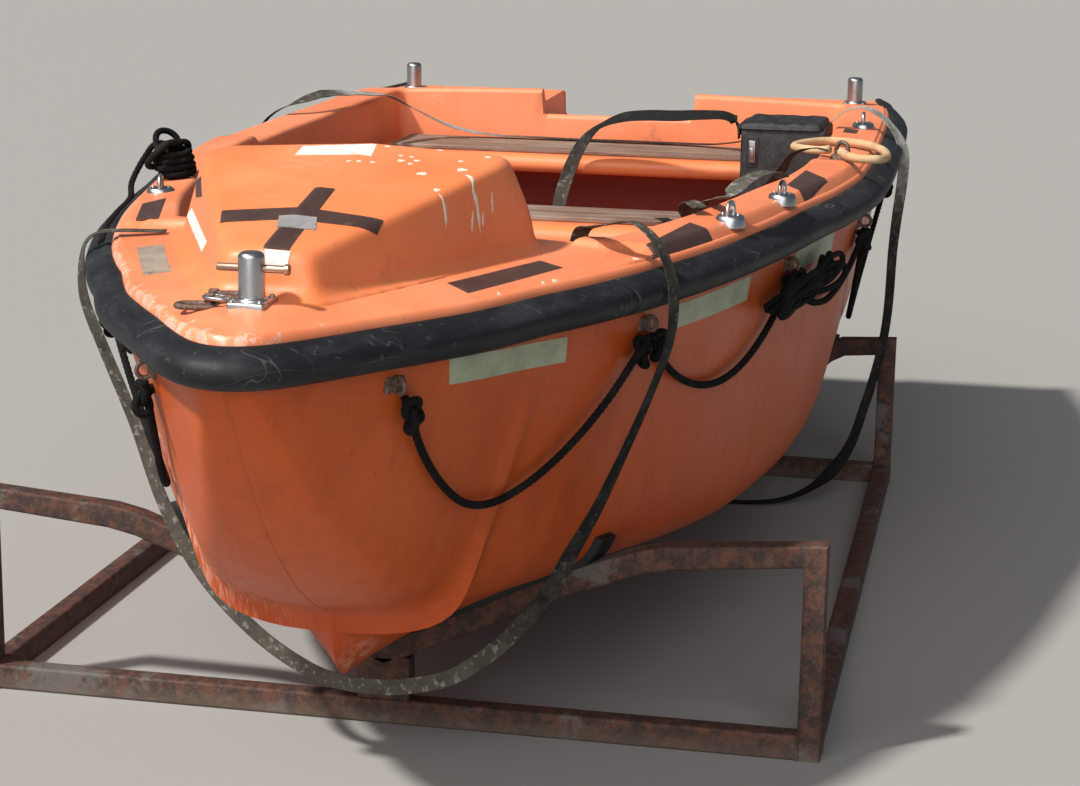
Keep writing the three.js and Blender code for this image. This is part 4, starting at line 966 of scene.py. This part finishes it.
PAD_X, PAD_Y, PAD_Z, PAD_HIGH, HINGE_Y, HINGE_Z = -1.2725, 0.5995, 1.0868, 0.0190, 0.729, 1.0902
spread = np.linspace(-1, 1, 61)
spread = 0.55 * np.sin(spread * math.pi / 2) + 0.45 * spread
pad_u, pad_v = np.meshgrid(spread, spread, indexing="ij")
square_to = np.maximum(np.maximum(np.abs(pad_u), np.abs(pad_v)), 1e-6)
rounder = (pad_u ** 12 + pad_v ** 12 + 1e-12) ** (-1 / 12) * square_to
pad_x, pad_y = PAD_X + 0.1290 * pad_u * rounder, PAD_Y + 0.1265 * pad_v * rounder
from_edge = np.minimum(np.minimum(1 - np.abs(pad_u), 1 - pad_v) * 0.128 / 0.011, (1 + pad_v) * 0.127 / 0.036)
soft = np.sqrt(1 - (1 - np.clip(from_edge, 0, 1)) ** 2)
wrinkle = 0.0011 * np.sin(62 * pad_x + 30 * pad_y + 2 * np.sin(33 * pad_y))
wrinkle += 0.0008 * np.sin(110 * pad_y - 38 * pad_x)
pad_top = np.stack([pad_x, pad_y, PAD_Z + (PAD_HIGH + wrinkle) * soft], -1)
pad_low = np.stack([pad_x, pad_y, PAD_Z + 0 * pad_x], -1)
fit(surface("lid_pad", pad_top, pad_low, closed=True, sharp=60), black, "black_plastic", "console_lid",
    body="lid")
flap = block((-1.375, 0.4685, 1.060), (-1.170, 0.4745, 1.094), 0.0025)
barrel = pipe(np.array([(x, HINGE_Y, HINGE_Z) for x in np.linspace(-1.380, -1.165, 12)]), 0.0036, 16)
fit(solid("lid_flap", flap, barrel, sharp=45), black, "black_plastic", body="lid")
latch = [block((CX1 - 0.002, CY0 + 0.026, 0.985), (CX1 + 0.0055, CY0 + 0.046, 1.052), 0.0022),
         block((CX1 + 0.004, CY0 + 0.030, 0.998), (CX1 + 0.0105, CY0 + 0.042, 1.030), 0.0030)]
fit(solid("console_latch", *latch, sharp=45), steel, "steel")

# Stowage door: a moulded panel over the locker in the front wall of the cockpit. It turns down on a
# barrel along its lower edge and is held by two turn buttons.
panel = block((BULKHEAD - 0.017, -0.180, 0.660), (BULKHEAD - 0.0008, 0.180, 0.948), 0.0055)
field = block((BULKHEAD - 0.0185, -0.145, 0.695), (BULKHEAD - 0.010, 0.145, 0.913), 0.0030)
fit(solid("door_panel", panel, field, sharp=45), house_orange, "orange_grp", "bow_stowage_door", body="door")
barrel = pipe(np.array([(BULKHEAD - 0.0048, y, 0.6585) for y in np.linspace(-0.165, 0.165, 12)]), 0.0038, 16)
pull = [(0.0170, -0.045), (0.030, -0.041), (0.036, -0.030), (0.036, 0.030), (0.030, 0.041), (0.0170, 0.045)]
pull = pipe(spline([(BULKHEAD - out, y, 0.888) for out, y in pull], 0.003), 0.0032, 16)
fit(solid("door_hardware", barrel, pull, sharp=45), steel, "steel", body="door")

# Cradle: welded from 50 mm square steel tube with rounded corners, once painted and now rusty. Two rails
# and two cross members lie on the ground, and two bents with V arms carry the hull.
rust, tree, shader, spot = finish("rusty_tube", (0.16, 0.065, 0.040), 0.8, Metallic=0.2)
look = place(tree, weather, Place=spot)
flakes = noise(tree, spot, 34, 6, 0.72)
fine = noise(tree, spot, 210, 4, 0.7)
color = blend(tree, window(tree, flakes, 0.40, 0.62), (0.030, 0.020, 0.018), (0.105, 0.042, 0.026))
color = blend(tree, window(tree, fine, 0.52, 0.70), color, (0.21, 0.085, 0.040), 0.55)
color = blend(tree, patches(tree, spot, 9, 4, 0.65, 0.58, 0.70), color, (0.028, 0.024, 0.024), 0.7)
paint = patches(tree, stretch(tree, spot, (1.6, 1.6, 1.6)), 3.2, 6, 0.7, 0.54, 0.62)
color = blend(tree, paint, color, (0.125, 0.130, 0.125), 0.6)
low = window(tree, add(tree, "SeparateXYZ", {0: spot}).outputs[2], 0.05, 0.0)
color = blend(tree, low, color, (0.16, 0.12, 0.09), 0.5)
high = more(tree, times(tree, flakes, 0.7), fine, 0.3)
dress(tree, shader, color, more(tree, 0.60, fine, 0.3), high, 0.0022)

POST_OUT, TUBE, RAIL_HIGH = 0.965, 0.050, 0.057
POST_IN = POST_OUT - TUBE
away, sign = rounded(6)
square = 0.5 + 0.13 * away + 0.37 * sign


def tube_run(first, second, across):
    """Square tube between two edge lines: each ring runs from one edge to the other and across by a
    vector, with rounded corners. Its corners are mitred because the edges meet there."""
    first, second = np.array(first, float), np.array(second, float)
    rings = first[:, None] + (second - first)[:, None] * square[:, :1]
    return capped(rings + np.array(across) * square[:, 1:])


def bead(corners):
    """Weld bead round a joint: a small tube along straight sides whose radius ripples."""
    path = evenly(np.array(corners + corners[:1], float), np.linspace(0, 1, 161)[:-1])
    ripple = 0.0034 * (1 + 0.22 * np.sin(np.arange(160) * 1.9))[:, None]
    return pipe(path, ripple, 8, closed=True)


ARM_DEEP, BEAD_LOW = 0.052, 0.004
BENTS = {"front": (1.074, 0.482, [(625, 456), (562, 442), (393, 380), (301, 335), (0, 187)]),
         "rear": (-1.256, 0.454, [(800, 446), (760, 425), (675, 342), (0, 181)])}
for word, (x, high, arm) in BENTS.items():
    arm = np.array(arm) / 1000
    inner_arm = arm + [(0.012 * (y > 0), -ARM_DEEP) for y, _ in arm]
    outer_line = [(POST_OUT, 0), (POST_OUT, high), *arm]
    inner_line = [(POST_IN, 0), (POST_IN, high - ARM_DEEP), *inner_arm]
    edges = []
    for line in (outer_line, inner_line):
        y, z = np.array([*line, *[(-y, z) for y, z in line[-2::-1]]]).T
        edges.append(np.stack([0 * y + x - TUBE / 2, y, z], -1))
    aft_x, fore_x = x - TUBE / 2, x + TUBE / 2
    foot = block((aft_x, -0.060, RAIL_HIGH + GLUE), (fore_x, 0.060, arm[-1, 1] - 0.030), 0.004)
    beads = [bead([(aft_x, y, BEAD_LOW), (aft_x, y, RAIL_HIGH), (fore_x, y, RAIL_HIGH),
                   (fore_x, y, BEAD_LOW)]) for y in (-POST_IN, POST_IN)]
    fit(solid(f"bent_{word}", tube_run(*edges, (TUBE, 0, 0)), sharp=28),
        rust, "rusty_steel", f"cradle_{word}_bent")
    fit(solid(f"bent_{word}_foot", foot, *beads, sharp=28), rust, "rusty_steel")
    half = POST_IN - GLUE
    member = tube_run(*[[(end, -half, 0), (end, half, 0)] for end in (aft_x, fore_x)], (0, 0, RAIL_HIGH))
    fit(solid(f"member_{word}", member, sharp=28), rust, "rusty_steel", f"cradle_{word}_member")
x0, x1 = BENTS["rear"][0] + TUBE / 2 + GLUE, BENTS["front"][0] - TUBE / 2 - GLUE
for side, word in ((1, "port"), (-1, "stbd")):
    inner_y, outer_y = side * POST_IN, side * POST_OUT
    rail = tube_run(*[[(x0, y, 0), (x1, y, 0)] for y in (inner_y, outer_y)], (0, 0, RAIL_HIGH))
    beads = [bead([(x, inner_y, BEAD_LOW), (x, outer_y, BEAD_LOW), (x, outer_y, RAIL_HIGH),
                   (x, inner_y, RAIL_HIGH)]) for x in (x0, x1)]
    fit(solid(f"rail_{word}", rail, sharp=28), rust, "rusty_steel", f"cradle_rail_{word}")
    fit(solid(f"rail_{word}_beads", *beads), rust, "rusty_steel")

# Rubber strips: thick black rubber laid over the arms of each bent, pressed to the shape of the hull.
STRIP = 0.018
corner = np.linspace(0, math.pi / 2, 5)
half_u = [1, *(1 - 0.2 * (1 - np.cos(corner)))]
half_n = [GLUE, *(STRIP - 0.004 + 0.004 * np.sin(corner))]
edge_u = np.array([*[-u for u in half_u], 0, *half_u[::-1]])
edge_n = [*half_n, STRIP, *half_n[::-1]]
for word, (x, high, arm) in BENTS.items():
    xs = x + 0.023 * edge_u
    ys, zs = half_section(xs, SIDE_STEPS)
    rows = []
    for k in range(len(xs)):
        line = np.stack([ys[k], zs[k]], -1)
        s = way_along(line)
        top = min(np.interp(arm[0][0] / 1000 - 0.020, ys[k], s),
                  np.interp(arm[0][1] / 1000 + 0.010, zs[k], s))
        at = np.linspace(0, top, 90)
        y, z = np.interp(at, s, ys[k]), np.interp(at, s, zs[k])
        slope = unit(np.stack([np.gradient(y), np.gradient(z)], -1))
        slope[0] = (1, 0)
        rows.append(np.stack([0 * y + xs[k], y + slope[:, 1] * edge_n[k], z - slope[:, 0] * edge_n[k]], -1))
    half = np.stack(rows, 1)
    whole = np.concatenate([half[:0:-1] * (1, -1, 1), half])
    fit(solid(f"strip_{word}", capped(whole), sharp=50), rubber, "rubber", f"cradle_{word}_rubber")

# Webbing: woven straps faded by the sun from black over khaki to grey-white. The rib runs across, with
# a firmer edge on both sides.
weave, given, gives = group("weave", {"Along": "Float", "Across": "Float"},
                            {"Height": "Float", "Rib": "Float"})
rib = calc(weave, "SINE", times(weave, given["Along"], 2 * math.pi / 0.0026))
yarn = calc(weave, "SINE", times(weave, given["Across"], 2 * math.pi / 0.0031))
wire(weave, more(weave, times(weave, rib, 0.25), times(weave, rib, yarn), 0.35), gives["Height"])
wire(weave, window(weave, times(weave, rib, yarn), -0.2, 0.8), gives["Rib"])

webbing, tree, shader, spot = finish("faded_webbing", (0.03, 0.03, 0.03), 0.85, Specular_IOR_Level=0.25)
along, across_it, tone = (add(tree, "Attribute", attribute_name=word).outputs["Fac"]
                          for word in ("along", "across", "tone"))
woven = place(tree, weave, Along=along, Across=across_it)
blotch = noise(tree, stretch(tree, spot, (14, 14, 14)), 1.6, 5, 0.68)
faded = more(tree, tone, calc(tree, "SUBTRACT", blotch, 0.5), 0.75)
color = blend(tree, window(tree, faded, 0.0, 0.55), (0.006, 0.006, 0.0065), (0.094, 0.082, 0.063))
color = blend(tree, window(tree, faded, 0.50, 1.0), color, (0.43, 0.42, 0.40))
fray = patches(tree, stretch(tree, spot, (60, 60, 60)), 1.0, 3, 0.6, 0.56, 0.66)
color = blend(tree, times(tree, fray, times(tree, tone, 0.6)), color, (0.62, 0.60, 0.57))
color = blend(tree, woven["Rib"], color, (0.006, 0.006, 0.006), 0.25)
dress(tree, shader, color, 0.85, woven["Height"], 0.0006)

UP, STBD, BOW = (0, 0, 1), (0, -1, 0), (1, 0, 0)
RIBBON = np.array([(-1, 0), (-0.985, 0.7), (-0.93, 1), (-0.84, 0.78), (0, 0.72), (0.84, 0.78), (0.93, 1),
                   (0.985, 0.7)])
RIBBON = np.concatenate([RIBBON, -RIBBON])


def strap(name, node, points, tones, wide=0.038, thick=0.0028):
    """Webbing along a smooth line. Its width lies across both the line and the way its face looks, and
    it ripples a little. The tones are pairs of a share of its length and how faded it is there."""
    line = spline([(*np.array(p[:3]) / 1000, *(p[3])) for p in points], 0.006)
    at, face = line[:, :3], line[:, 3:]
    run = unit(np.gradient(at, axis=0))
    side = unit(np.cross(face, run))
    out = np.cross(run, side)
    s = np.linspace(0, way_along(line)[-1], len(line))
    cup = 0.0010 * np.sin(s * 21)[:, None] * (RIBBON[:, 0] ** 2 - 0.4)
    flat = at[:, None] + side[:, None] * RIBBON[:, :1] * wide / 2 + out[:, None] * cup[..., None]
    rings = flat + out[:, None] * RIBBON[:, 1:] * thick / 2
    rings = np.concatenate([flat[:1], rings, flat[-1:]])
    far = np.concatenate([s[:1], s, s[-1:]])[:, None]
    fade = np.interp(far / s[-1], *zip(*tones))
    made = solid(name, rings, along=[far], across=[RIBBON[:, 0] * wide / 2], tone=[fade])
    fit(made, webbing, "webbing", node)


strap("lashing_bow", "strap_bow", [
    (1017, 395, 880, (-1, 0, 0)), (1017, 398, 1020, (-1, 0, 0)), (1023, 405, 1085, (-1, 0, 0.2)),
    (1042, 418, 1118, (-0.7, -0.2, 0.8)), (1100, 455, 1136, UP), (1160, 503, 1152, UP),
    (1190, 550, 1163, (0, 0.3, 1)), (1200, 597, 1132, (0.3, 1, 0.4)), (1200, 628, 1072, (0.4, 1, 0)),
    (1200, 638, 1020, (0.5, 0.9, 0)), (1203, 634, 930, (0.4, 1, 0)), (1212, 604, 830, (0.3, 1, 0)),
    (1230, 548, 690, (0.4, 1, 0)), (1250, 495, 565, (0.6, 0.9, 0)), (1270, 450, 480, (0.8, 0.6, 0)),
    (1292, 412, 405, (1, 0.3, 0)), (1312, 363, 338, BOW), (1326, 288, 263, BOW), (1331, 209, 209, BOW),
    (1332, 128, 184, BOW), (1332, 47, 174, BOW), (1332, -52, 184, BOW), (1331, -120, 211, BOW),
    (1326, -202, 260, BOW), (1306, -298, 336, BOW), (1286, -375, 420, BOW), (1262, -440, 520, (1, -0.3, 0)),
    (1237, -508, 680, (1, -0.4, 0)), (1216, -580, 830, (1, -0.5, 0)), (1200, -634, 950, (0.9, -0.6, 0)),
    (1200, -637, 1022, (0.7, -0.8, 0.1)), (1200, -626, 1066, (0.4, -0.9, 0.3)),
    (1200, -597, 1088, (0.1, -0.5, 1)), (1200, -550, 1095, UP), (1192, -500, 1096, UP),
    (1180, -452, 1096, UP)],
    [(0, 0.1), (0.12, 0.45), (0.2, 0.2), (0.3, 0.05), (0.42, 0.15), (0.5, 0.42), (0.6, 0.42), (0.75, 0.35),
     (0.9, 0.3), (1, 0.35)], wide=0.035)

strap("lashing_quarter", "strap_quarter", [
    (-1150, 748, 1116, (0, -0.3, 1)), (-1150, 790, 1150, (0, -0.2, 1)), (-1150, 835, 1162, UP),
    (-1150, 885, 1146, (0.3, 0.5, 1)), (-1150, 930, 1105, (0.4, 1, 0.5)), (-1150, 956, 1062, (0.6, 0.8, 0)),
    (-1150, 965.5, 1020, (0.8, 0.6, 0)), (-1150, 964, 950, (0.8, 0.6, 0)), (-1148, 955, 850, (0.8, 0.7, 0)),
    (-1140, 947, 742, (0.8, 0.9, 0)), (-1110, 937, 500, (0.8, 1, 0)), (-1050, 890, 281, (0.8, 1, 0.2)),
    (-1000, 850, 160, (0.3, 0.7, 0.5)), (-960, 780, 70, (0, 0.6, 1)), (-930, 690, 20, (0, 0.2, 1)),
    (-905, 600, 5, UP), (-890, 450, 3, UP), (-885, 200, 3, UP), (-890, -150, 3, UP), (-900, -450, 3, UP),
    (-925, -600, 5, UP), (-950, -690, 20, (0, -0.2, 1)), (-970, -780, 70, (0, -0.6, 1)),
    (-985, -850, 160, (0, -1, 0.5)), (-995, -900, 300, STBD), (-1000, -938, 500, STBD),
    (-1000, -955, 742, STBD), (-1000, -964.5, 950, STBD), (-1000, -967.8, 1020, STBD),
    (-1000, -962, 1060, (0, -1, 0.4)), (-1000, -925, 1098, (0, -0.6, 1)), (-1005, -880, 1122, (0, -0.2, 1)),
    (-1030, -830, 1142, (0.5, 0, 0.9)), (-1100, -800, 1150, (0.9, 0, 0.45)),
    (-1220, -775, 1142, (0.9, 0, 0.45)), (-1380, -745, 1125, (0.7, 0, 0.7)), (-1500, -700, 1106, UP),
    (-1580, -640, 1060, (0.2, 0, 1)), (-1660, -540, 1000, (0.2, 0, 1)), (-1700, -420, 972, UP),
    (-1710, -250, 966, UP), (-1712, 0, 965, UP), (-1708, 200, 966, UP), (-1680, 330, 970, UP),
    (-1620, 420, 990, (0, -0.2, 1)), (-1520, 455, 1010, (0, -0.4, 1))],
    [(0, 0.8), (0.06, 0.75), (0.09, 0.15), (0.2, 0.02), (0.6, 0.05), (0.70, 0.3), (0.73, 0.85), (0.83, 0.8),
     (0.88, 0.2), (1, 0.1)])

strap("strap_slack", "strap_inside", [
    (-1290, 459, 1040, STBD), (-1290, 452, 1085, (0, -1, 0.5)), (-1288, 420, 1106, (0.5, 0, 0.9)),
    (-1286, 350, 1108, (0.6, 0, 0.8)), (-1288, 260, 1102, (0.7, 0, 0.7)), (-1300, 170, 1098, (0.7, 0, 0.7)),
    (-1325, 90, 1086, (0.6, -0.2, 0.7)), (-1350, 20, 1056, (0.4, -0.3, 1)),
    (-1368, -38, 1000, (0.8, -0.3, 0.5)), (-1372, -78, 920, BOW), (-1358, -104, 830, BOW),
    (-1368, -118, 750, BOW), (-1394, -126, 680, (1, 0, 0.4))],
    [(0, 0), (0.55, 0.03), (0.75, 0.3), (1, 0.6)], wide=0.042)

strap("strap_arch", "strap_eye", [
    (-150, 400, 963, UP), (-90, 430, 966, UP), (0, 470, 980, UP), (180, 520, 1020, (0, -0.5, 1)),
    (380, 575, 1075, (0, -0.4, 1)), (540, 618, 1118, (0, -0.2, 1)), (640, 655, 1138, UP),
    (690, 676, 1152, UP), (660, 697, 1170, (1, 0, 0.6)), (600, 713, 1179, (0.7, 0, 0.7)),
    (520, 730, 1182, (0.6, 0, 0.8)), (440, 746, 1176, (0.4, 0, 0.9)), (385, 758, 1164, (-0.6, 0, 1)),
    (362, 763, 1152, (-1, 0, 0.5))],
    [(0, 0.05), (0.4, 0.05), (0.55, 0.55), (0.75, 0.6), (1, 0.35)], wide=0.034)

strap("strap_deck", "strap_side", [
    (-452, 800, 1118, UP), (-445, 765, 1124, (0, -0.3, 1)), (-420, 728, 1116, (0, -0.8, 1)),
    (-350, 705, 1098, STBD), (-200, 693, 1078, STBD), (0, 683, 1068, STBD), (200, 665, 1070, STBD),
    (400, 630, 1070, STBD), (500, 602, 1072, STBD), (575, 574, 1092, (0, -1, 0.4)),
    (620, 572, 1118, (0, -0.5, 1)), (660, 592, 1130, UP), (700, 618, 1124, UP)],
    [(0, 0.25), (0.2, 0.05), (0.7, 0.1), (0.85, 0.5), (1, 0.3)])

# Rope: the tan sling through the shackle on the port side deck, and the black rope heaped on the
# starboard side deck, which runs on along the groove over the fender.
tan, tree, shader, spot = finish("tan_rope", (0.50, 0.33, 0.17), 0.85)
fuzz = noise(tree, spot, 420, 3, 0.7)
color = blend(tree, patches(tree, spot, 9, 4, 0.6, 0.35, 0.70), (0.44, 0.29, 0.15), (0.60, 0.43, 0.25))
color = blend(tree, patches(tree, spot, 38, 4, 0.7, 0.60, 0.70), color, (0.14, 0.085, 0.05), 0.75)
dress(tree, shader, color, 0.85, fuzz, 0.0012)

SLING = [
    (-415, 838, 1120), (-360, 850, 1123), (-300, 868, 1124), (-262, 900, 1124), (-262, 938, 1124),
    (-330, 956, 1118), (-470, 955, 1111), (-600, 930, 1109), (-700, 880, 1109), (-745, 820, 1109),
    (-740, 770, 1109), (-690, 725, 1109), (-630, 700, 1109), (-580, 698, 1109), (-545, 725, 1109),
    (-520, 765, 1110), (-495, 800, 1116)]
turns = np.arange(43) * math.pi / 6
wind = 0.043 + 0.008 * np.sin(0.9 * turns)
HEAP_X, HEAP_Y, HEAP_Z = 0.470, -0.705, sheer(0.480) + 0.064
heap = raised(np.stack([HEAP_X + 1.15 * wind * np.cos(turns), HEAP_Y + wind * np.sin(turns)], -1),
              HEAP_Z + turns / (2 * math.pi) * 0.0155)
off_heap = [(0.440, -0.752, HEAP_Z + 0.066), (0.425, -0.790, HEAP_Z + 0.030),
            (0.450, -0.815, HEAP_Z - 0.028), (0.500, -0.799, sheer(0.5) + 0.009)]
groove = [(x, -(fair(1, x) + 0.024), sheer(x) + 0.006) for x in (0.6, 0.7, 0.8, 0.9, 1.0, 1.1, 1.15)]
line = spline(np.array(SLING) / 1000, 0.003)
made = fit(solid("sling", pipe(line, 0.0112, 20)), tan, "webbing", "deck_loop")
line = spline([*heap, *off_heap, *groove], 0.003)
made = fit(solid("rope_heap", laid(line, 0.0078, 0.038)), rope_black, "webbing", "rope_stbd")
tangle = [knot((0.462 + 0.022 * k, -0.708 - 0.012 * k, HEAP_Z + 0.030 + 0.014 * k), 0.0185, 0.0078, tilt, 1)
          for k, tilt in ((-1, 0.5), (0, 2.2), (1, 3.9))]
tangle = fit(solid("rope_tangle", *tangle), rope_black, "rope")

# Tape and marks: strips of dark and of pale reflective tape on deck, house and hull, a blank label, and
# the droppings of birds on the roof. Each is a thin film that follows the surface under it.
def deck_film(u, lift):
    """Place on the deck from (x, y)."""
    return raised(u, deck_height(u[..., 0], u[..., 1]) + lift)


def side_film(u, lift):
    """Place on the port side of the hull from (x, z)."""
    flat = u.reshape(-1, 2)
    y = side_y(flat[:, 0], flat[:, 1]).reshape(u.shape[:-1]) + lift
    return np.stack([u[..., 0], y, u[..., 1]], -1)


def house_film(u, lift):
    """Place on the house in the direction of a point from its middle."""
    way = unit(u - HOUSE_MIDDLE)
    return HOUSE_MIDDLE + way * (house_radius(way) + lift)[..., None]


def film(name, corners, where, material, thick=0.0007, cells=(48, 14)):
    """Patch between four corners, lifted off the surface, its rim turned down into it. Its mark `rim`
    is the distance from the nearest side over a fifth of the width."""
    a, b, c, d = np.array(corners, float)
    u, v = (np.linspace(0, 1, n) for n in cells)
    u, v = u[:, None, None], v[None, :, None]
    flat = (a * (1 - u) + b * u) * (1 - v) + (d * (1 - u) + c * u) * v
    top = where(flat, thick)
    low = where(flat, -0.0006)
    inner_rim = np.minimum(np.minimum(u, 1 - u) * cells[0] / cells[1], np.minimum(v, 1 - v))[..., 0] * 5
    grid = np.pad(top, ((1, 1), (1, 1), (0, 0)), mode="edge")
    under = np.pad(low, ((1, 1), (1, 1), (0, 0)), mode="edge")
    border = np.pad(np.zeros(top.shape[:2]), 1, constant_values=1)[..., None]
    grid = grid * (1 - border) + under * border
    made = surface(name, grid, sharp=50, rim=[np.pad(np.clip(inner_rim, 0, 1), 1)])
    shape = bmesh.new()
    shape.from_mesh(made.data)
    outwards = Vector((where(flat, 0.01) - where(flat, 0)).mean((0, 1)))
    if sum((face.normal for face in shape.faces), Vector()).dot(outwards) < 0:
        bmesh.ops.reverse_faces(shape, faces=shape.faces)
        shape.to_mesh(made.data)
    shape.free()
    fit(made, material, "orange_grp")


def tape(name, main, worn, rough, bare=0.35):
    """Tape whose rim and creases wear down to a paler layer."""
    made, tree, shader, spot = finish(name, main, rough)
    rim_mask = add(tree, "Attribute", attribute_name="rim").outputs["Fac"]
    clouds = noise(tree, spot, 42, 5, 0.7)
    gone = window(tree, more(tree, clouds, rim_mask, -0.10), 0.50, 0.60)
    color = blend(tree, patches(tree, spot, 16, 4, 0.6, 0.35, 0.70), main, tuple(0.75 * v for v in main))
    color = blend(tree, gone, color, worn, bare)
    high = more(tree, times(tree, noise(tree, spot, 420, 2, 0.5), 0.4), gone, -0.5)
    dress(tree, shader, color, more(tree, rough, clouds, 0.2), high, 0.0006)
    return made


dark_tape = tape("dark_tape", (0.062, 0.030, 0.024), (0.16, 0.085, 0.065), 0.45)
worn_tape = tape("worn_tape", (0.30, 0.25, 0.20), (0.11, 0.07, 0.05), 0.6, 0.7)
pale_tape = tape("pale_tape", (0.36, 0.40, 0.27), (0.50, 0.30, 0.18), 0.35, 0.3)
white_film = tape("white_film", (0.74, 0.72, 0.68), (0.80, 0.45, 0.32), 0.5, 0.5)
grey_tape = tape("grey_tape", (0.30, 0.29, 0.29), (0.14, 0.10, 0.09), 0.4, 0.6)

for i, corners in enumerate((
        ((1.595, 0.264), (1.294, 0.380), (1.332, 0.435), (1.643, 0.316)),
        ((1.095, 0.560), (0.795, 0.610), (0.860, 0.674), (1.147, 0.600)),
        ((0.152, 0.754), (-0.107, 0.775), (0, 0.840), (0.238, 0.809)),
        ((-1.060, 0.790), (-1.150, 0.790), (-1.140, 0.830), (-1.050, 0.830)),
        ((0.872, -0.625), (0.801, -0.595), (1.086, -0.505), (1.092, -0.555)))):
    film(f"deck_tape_{i + 1}", corners, deck_film, dark_tape)
film("deck_tape_worn", ((1.341, -0.456), (1.308, -0.411), (1.617, -0.278), (1.634, -0.328)),
     deck_film, worn_tape)
for name, material, thick, cells, corners in (
        ("house_tape_across", dark_tape, 0.0007, (60, 14), (
            (1.641, -0.166, 1.221), (1.650, 0.158, 1.220), (1.694, 0.161, 1.203), (1.713, -0.147, 1.210))),
        ("house_tape_along", dark_tape, 0.0011, (60, 14), (
            (1.549, -0.009, 1.257), (1.860, -0.008, 1.190), (1.864, 0.040, 1.190), (1.542, 0.029, 1.256))),
        ("house_tape_centre", grey_tape, 0.0016, (24, 24), (
            (1.684, -0.028, 1.21), (1.745, -0.012, 1.20), (1.740, 0.053, 1.20), (1.680, 0.037, 1.21))),
        ("house_tape_end", white_film, 0.0014, (24, 20), (
            (1.862, -0.004, 1.189), (1.884, 0.002, 1.160), (1.882, 0.041, 1.160), (1.863, 0.043, 1.188))),
        ("roof_patch", white_film, 0.0007, (24, 40), (
            (1.180, -0.150, 1.299), (1.270, -0.138, 1.284), (1.280, 0.027, 1.287), (1.179, 0.010, 1.299))),
        ("side_label", white_film, 0.0007, (60, 16), (
            (1.262, -0.378, 1.146), (1.617, -0.214, 1.134), (1.651, -0.192, 1.160), (1.324, -0.343, 1.172))),
        ("side_tape_house", dark_tape, 0.0007, (30, 20), (
            (1.262, -0.366, 1.225), (1.352, -0.322, 1.197), (1.435, -0.278, 1.212), (1.350, -0.310, 1.240)))):
    film(name, corners, house_film, material, thick, cells)
for i, corners in enumerate((
        ((1.750, 0.985), (1.425, 0.968), (1.404, 0.913), (1.730, 0.930)),
        ((1.040, 0.970), (0.660, 0.970), (0.660, 0.914), (1.040, 0.914)),
        ((0.330, 0.985), (0.020, 0.985), (0.020, 0.922), (0.330, 0.922)),
        ((-0.560, 0.980), (-0.800, 0.980), (-0.800, 0.922), (-0.560, 0.922)))):
    film(f"side_tape_{i + 1}", corners, side_film, pale_tape)

cream, tree, shader, spot = finish("dried_droppings", (0.72, 0.66, 0.55), 0.8)
curd = noise(tree, spot, 160, 4, 0.65)
color = blend(tree, curd, (0.80, 0.76, 0.68), (0.58, 0.48, 0.36))
dress(tree, shader, color, 0.8, curd, 0.001)


def blot(x, y, r, where):
    """Low dome on a surface, its height 1 - t^2 over the radius, its rim wavy."""
    t = np.linspace(0, 1, 7)[:, None]
    a = np.linspace(0, 2 * math.pi, 20, endpoint=False)[None, :]
    wavy = r * t * (1 + 0.16 * np.sin(3 * a + 40 * x) + 0.09 * np.sin(5 * a + 70 * y))
    flat = np.stack([x + wavy * np.cos(a), y + wavy * np.sin(a)], -1)
    if where is house_film:
        flat = np.concatenate([flat, 1.27 + 0 * flat[..., :1]], -1)
    return where(flat, 0.0015 * (1 - t ** 2) + 0 * a - 0.0003)


def trickle(points, wide):
    """Streak down the house: a low strip along a line, widest at its middle."""
    line = spline(points, 0.004)
    run = unit(np.gradient(line, axis=0))
    side = unit(np.cross(run, (0.2, 1, 0.1)))
    u = np.linspace(-1, 1, 7)
    s = np.linspace(0, 1, len(line))[:, None]
    girth = wide * (0.35 + 0.65 * np.sin(math.pi * s) + 0.25 * np.sin(19 * s))
    flat = line[:, None] + side[:, None] * (u * girth)[..., None]
    return house_film(flat, 0.0014 * (1 - u ** 2) * np.sqrt(np.sin(math.pi * s) + 0.02) - 0.0003)


dots = [(1.342, -0.005, 5), (1.338, 0.014, 6), (1.334, 0.040, 6), (1.271, 0.075, 5), (1.303, 0.087, 8),
        (1.272, 0.097, 5), (1.317, 0.111, 6), (1.292, 0.115, 7), (1.263, 0.196, 6), (1.215, 0.234, 7),
        (1.221, 0.031, 6), (1.186, 0.105, 6), (1.202, 0.130, 7), (1.376, 0.158, 12), (1.319, 0.222, 12),
        (1.448, 0.229, 9)]
deck_dots = [(1.603, 0.372, 9), (1.442, 0.443, 8), (1.162, 0.552, 8), (1.47, 0.425, 5)]
for name, spots, where in (("roof_droppings", dots, house_film), ("deck_droppings", deck_dots, deck_film)):
    blots = [blot(x, y, r / 1000, where) for x, y, r in spots]
    fit(surface(name, *blots, round_v=True, flip=True), cream, "orange_grp")
streaks = (
    (5, [(1.465, 0.217, 1.248), (1.465, 0.230, 1.237), (1.468, 0.238, 1.213), (1.474, 0.246, 1.185)]),
    (6, [(1.346, 0.239, 1.267), (1.361, 0.264, 1.246), (1.356, 0.274, 1.224), (1.353, 0.285, 1.198),
         (1.348, 0.301, 1.161)]),
    (4, [(1.373, 0.274, 1.208), (1.378, 0.280, 1.187), (1.383, 0.286, 1.166)]),
    (4, [(1.334, 0.290, 1.203), (1.336, 0.295, 1.188), (1.338, 0.300, 1.173)]),
    (4, [(1.295, 0.292, 1.235), (1.296, 0.300, 1.214), (1.296, 0.307, 1.193)]))
streaks = [trickle(points, wide / 1000) for wide, points in streaks]
fit(surface("wall_droppings", *streaks), cream, "orange_grp")
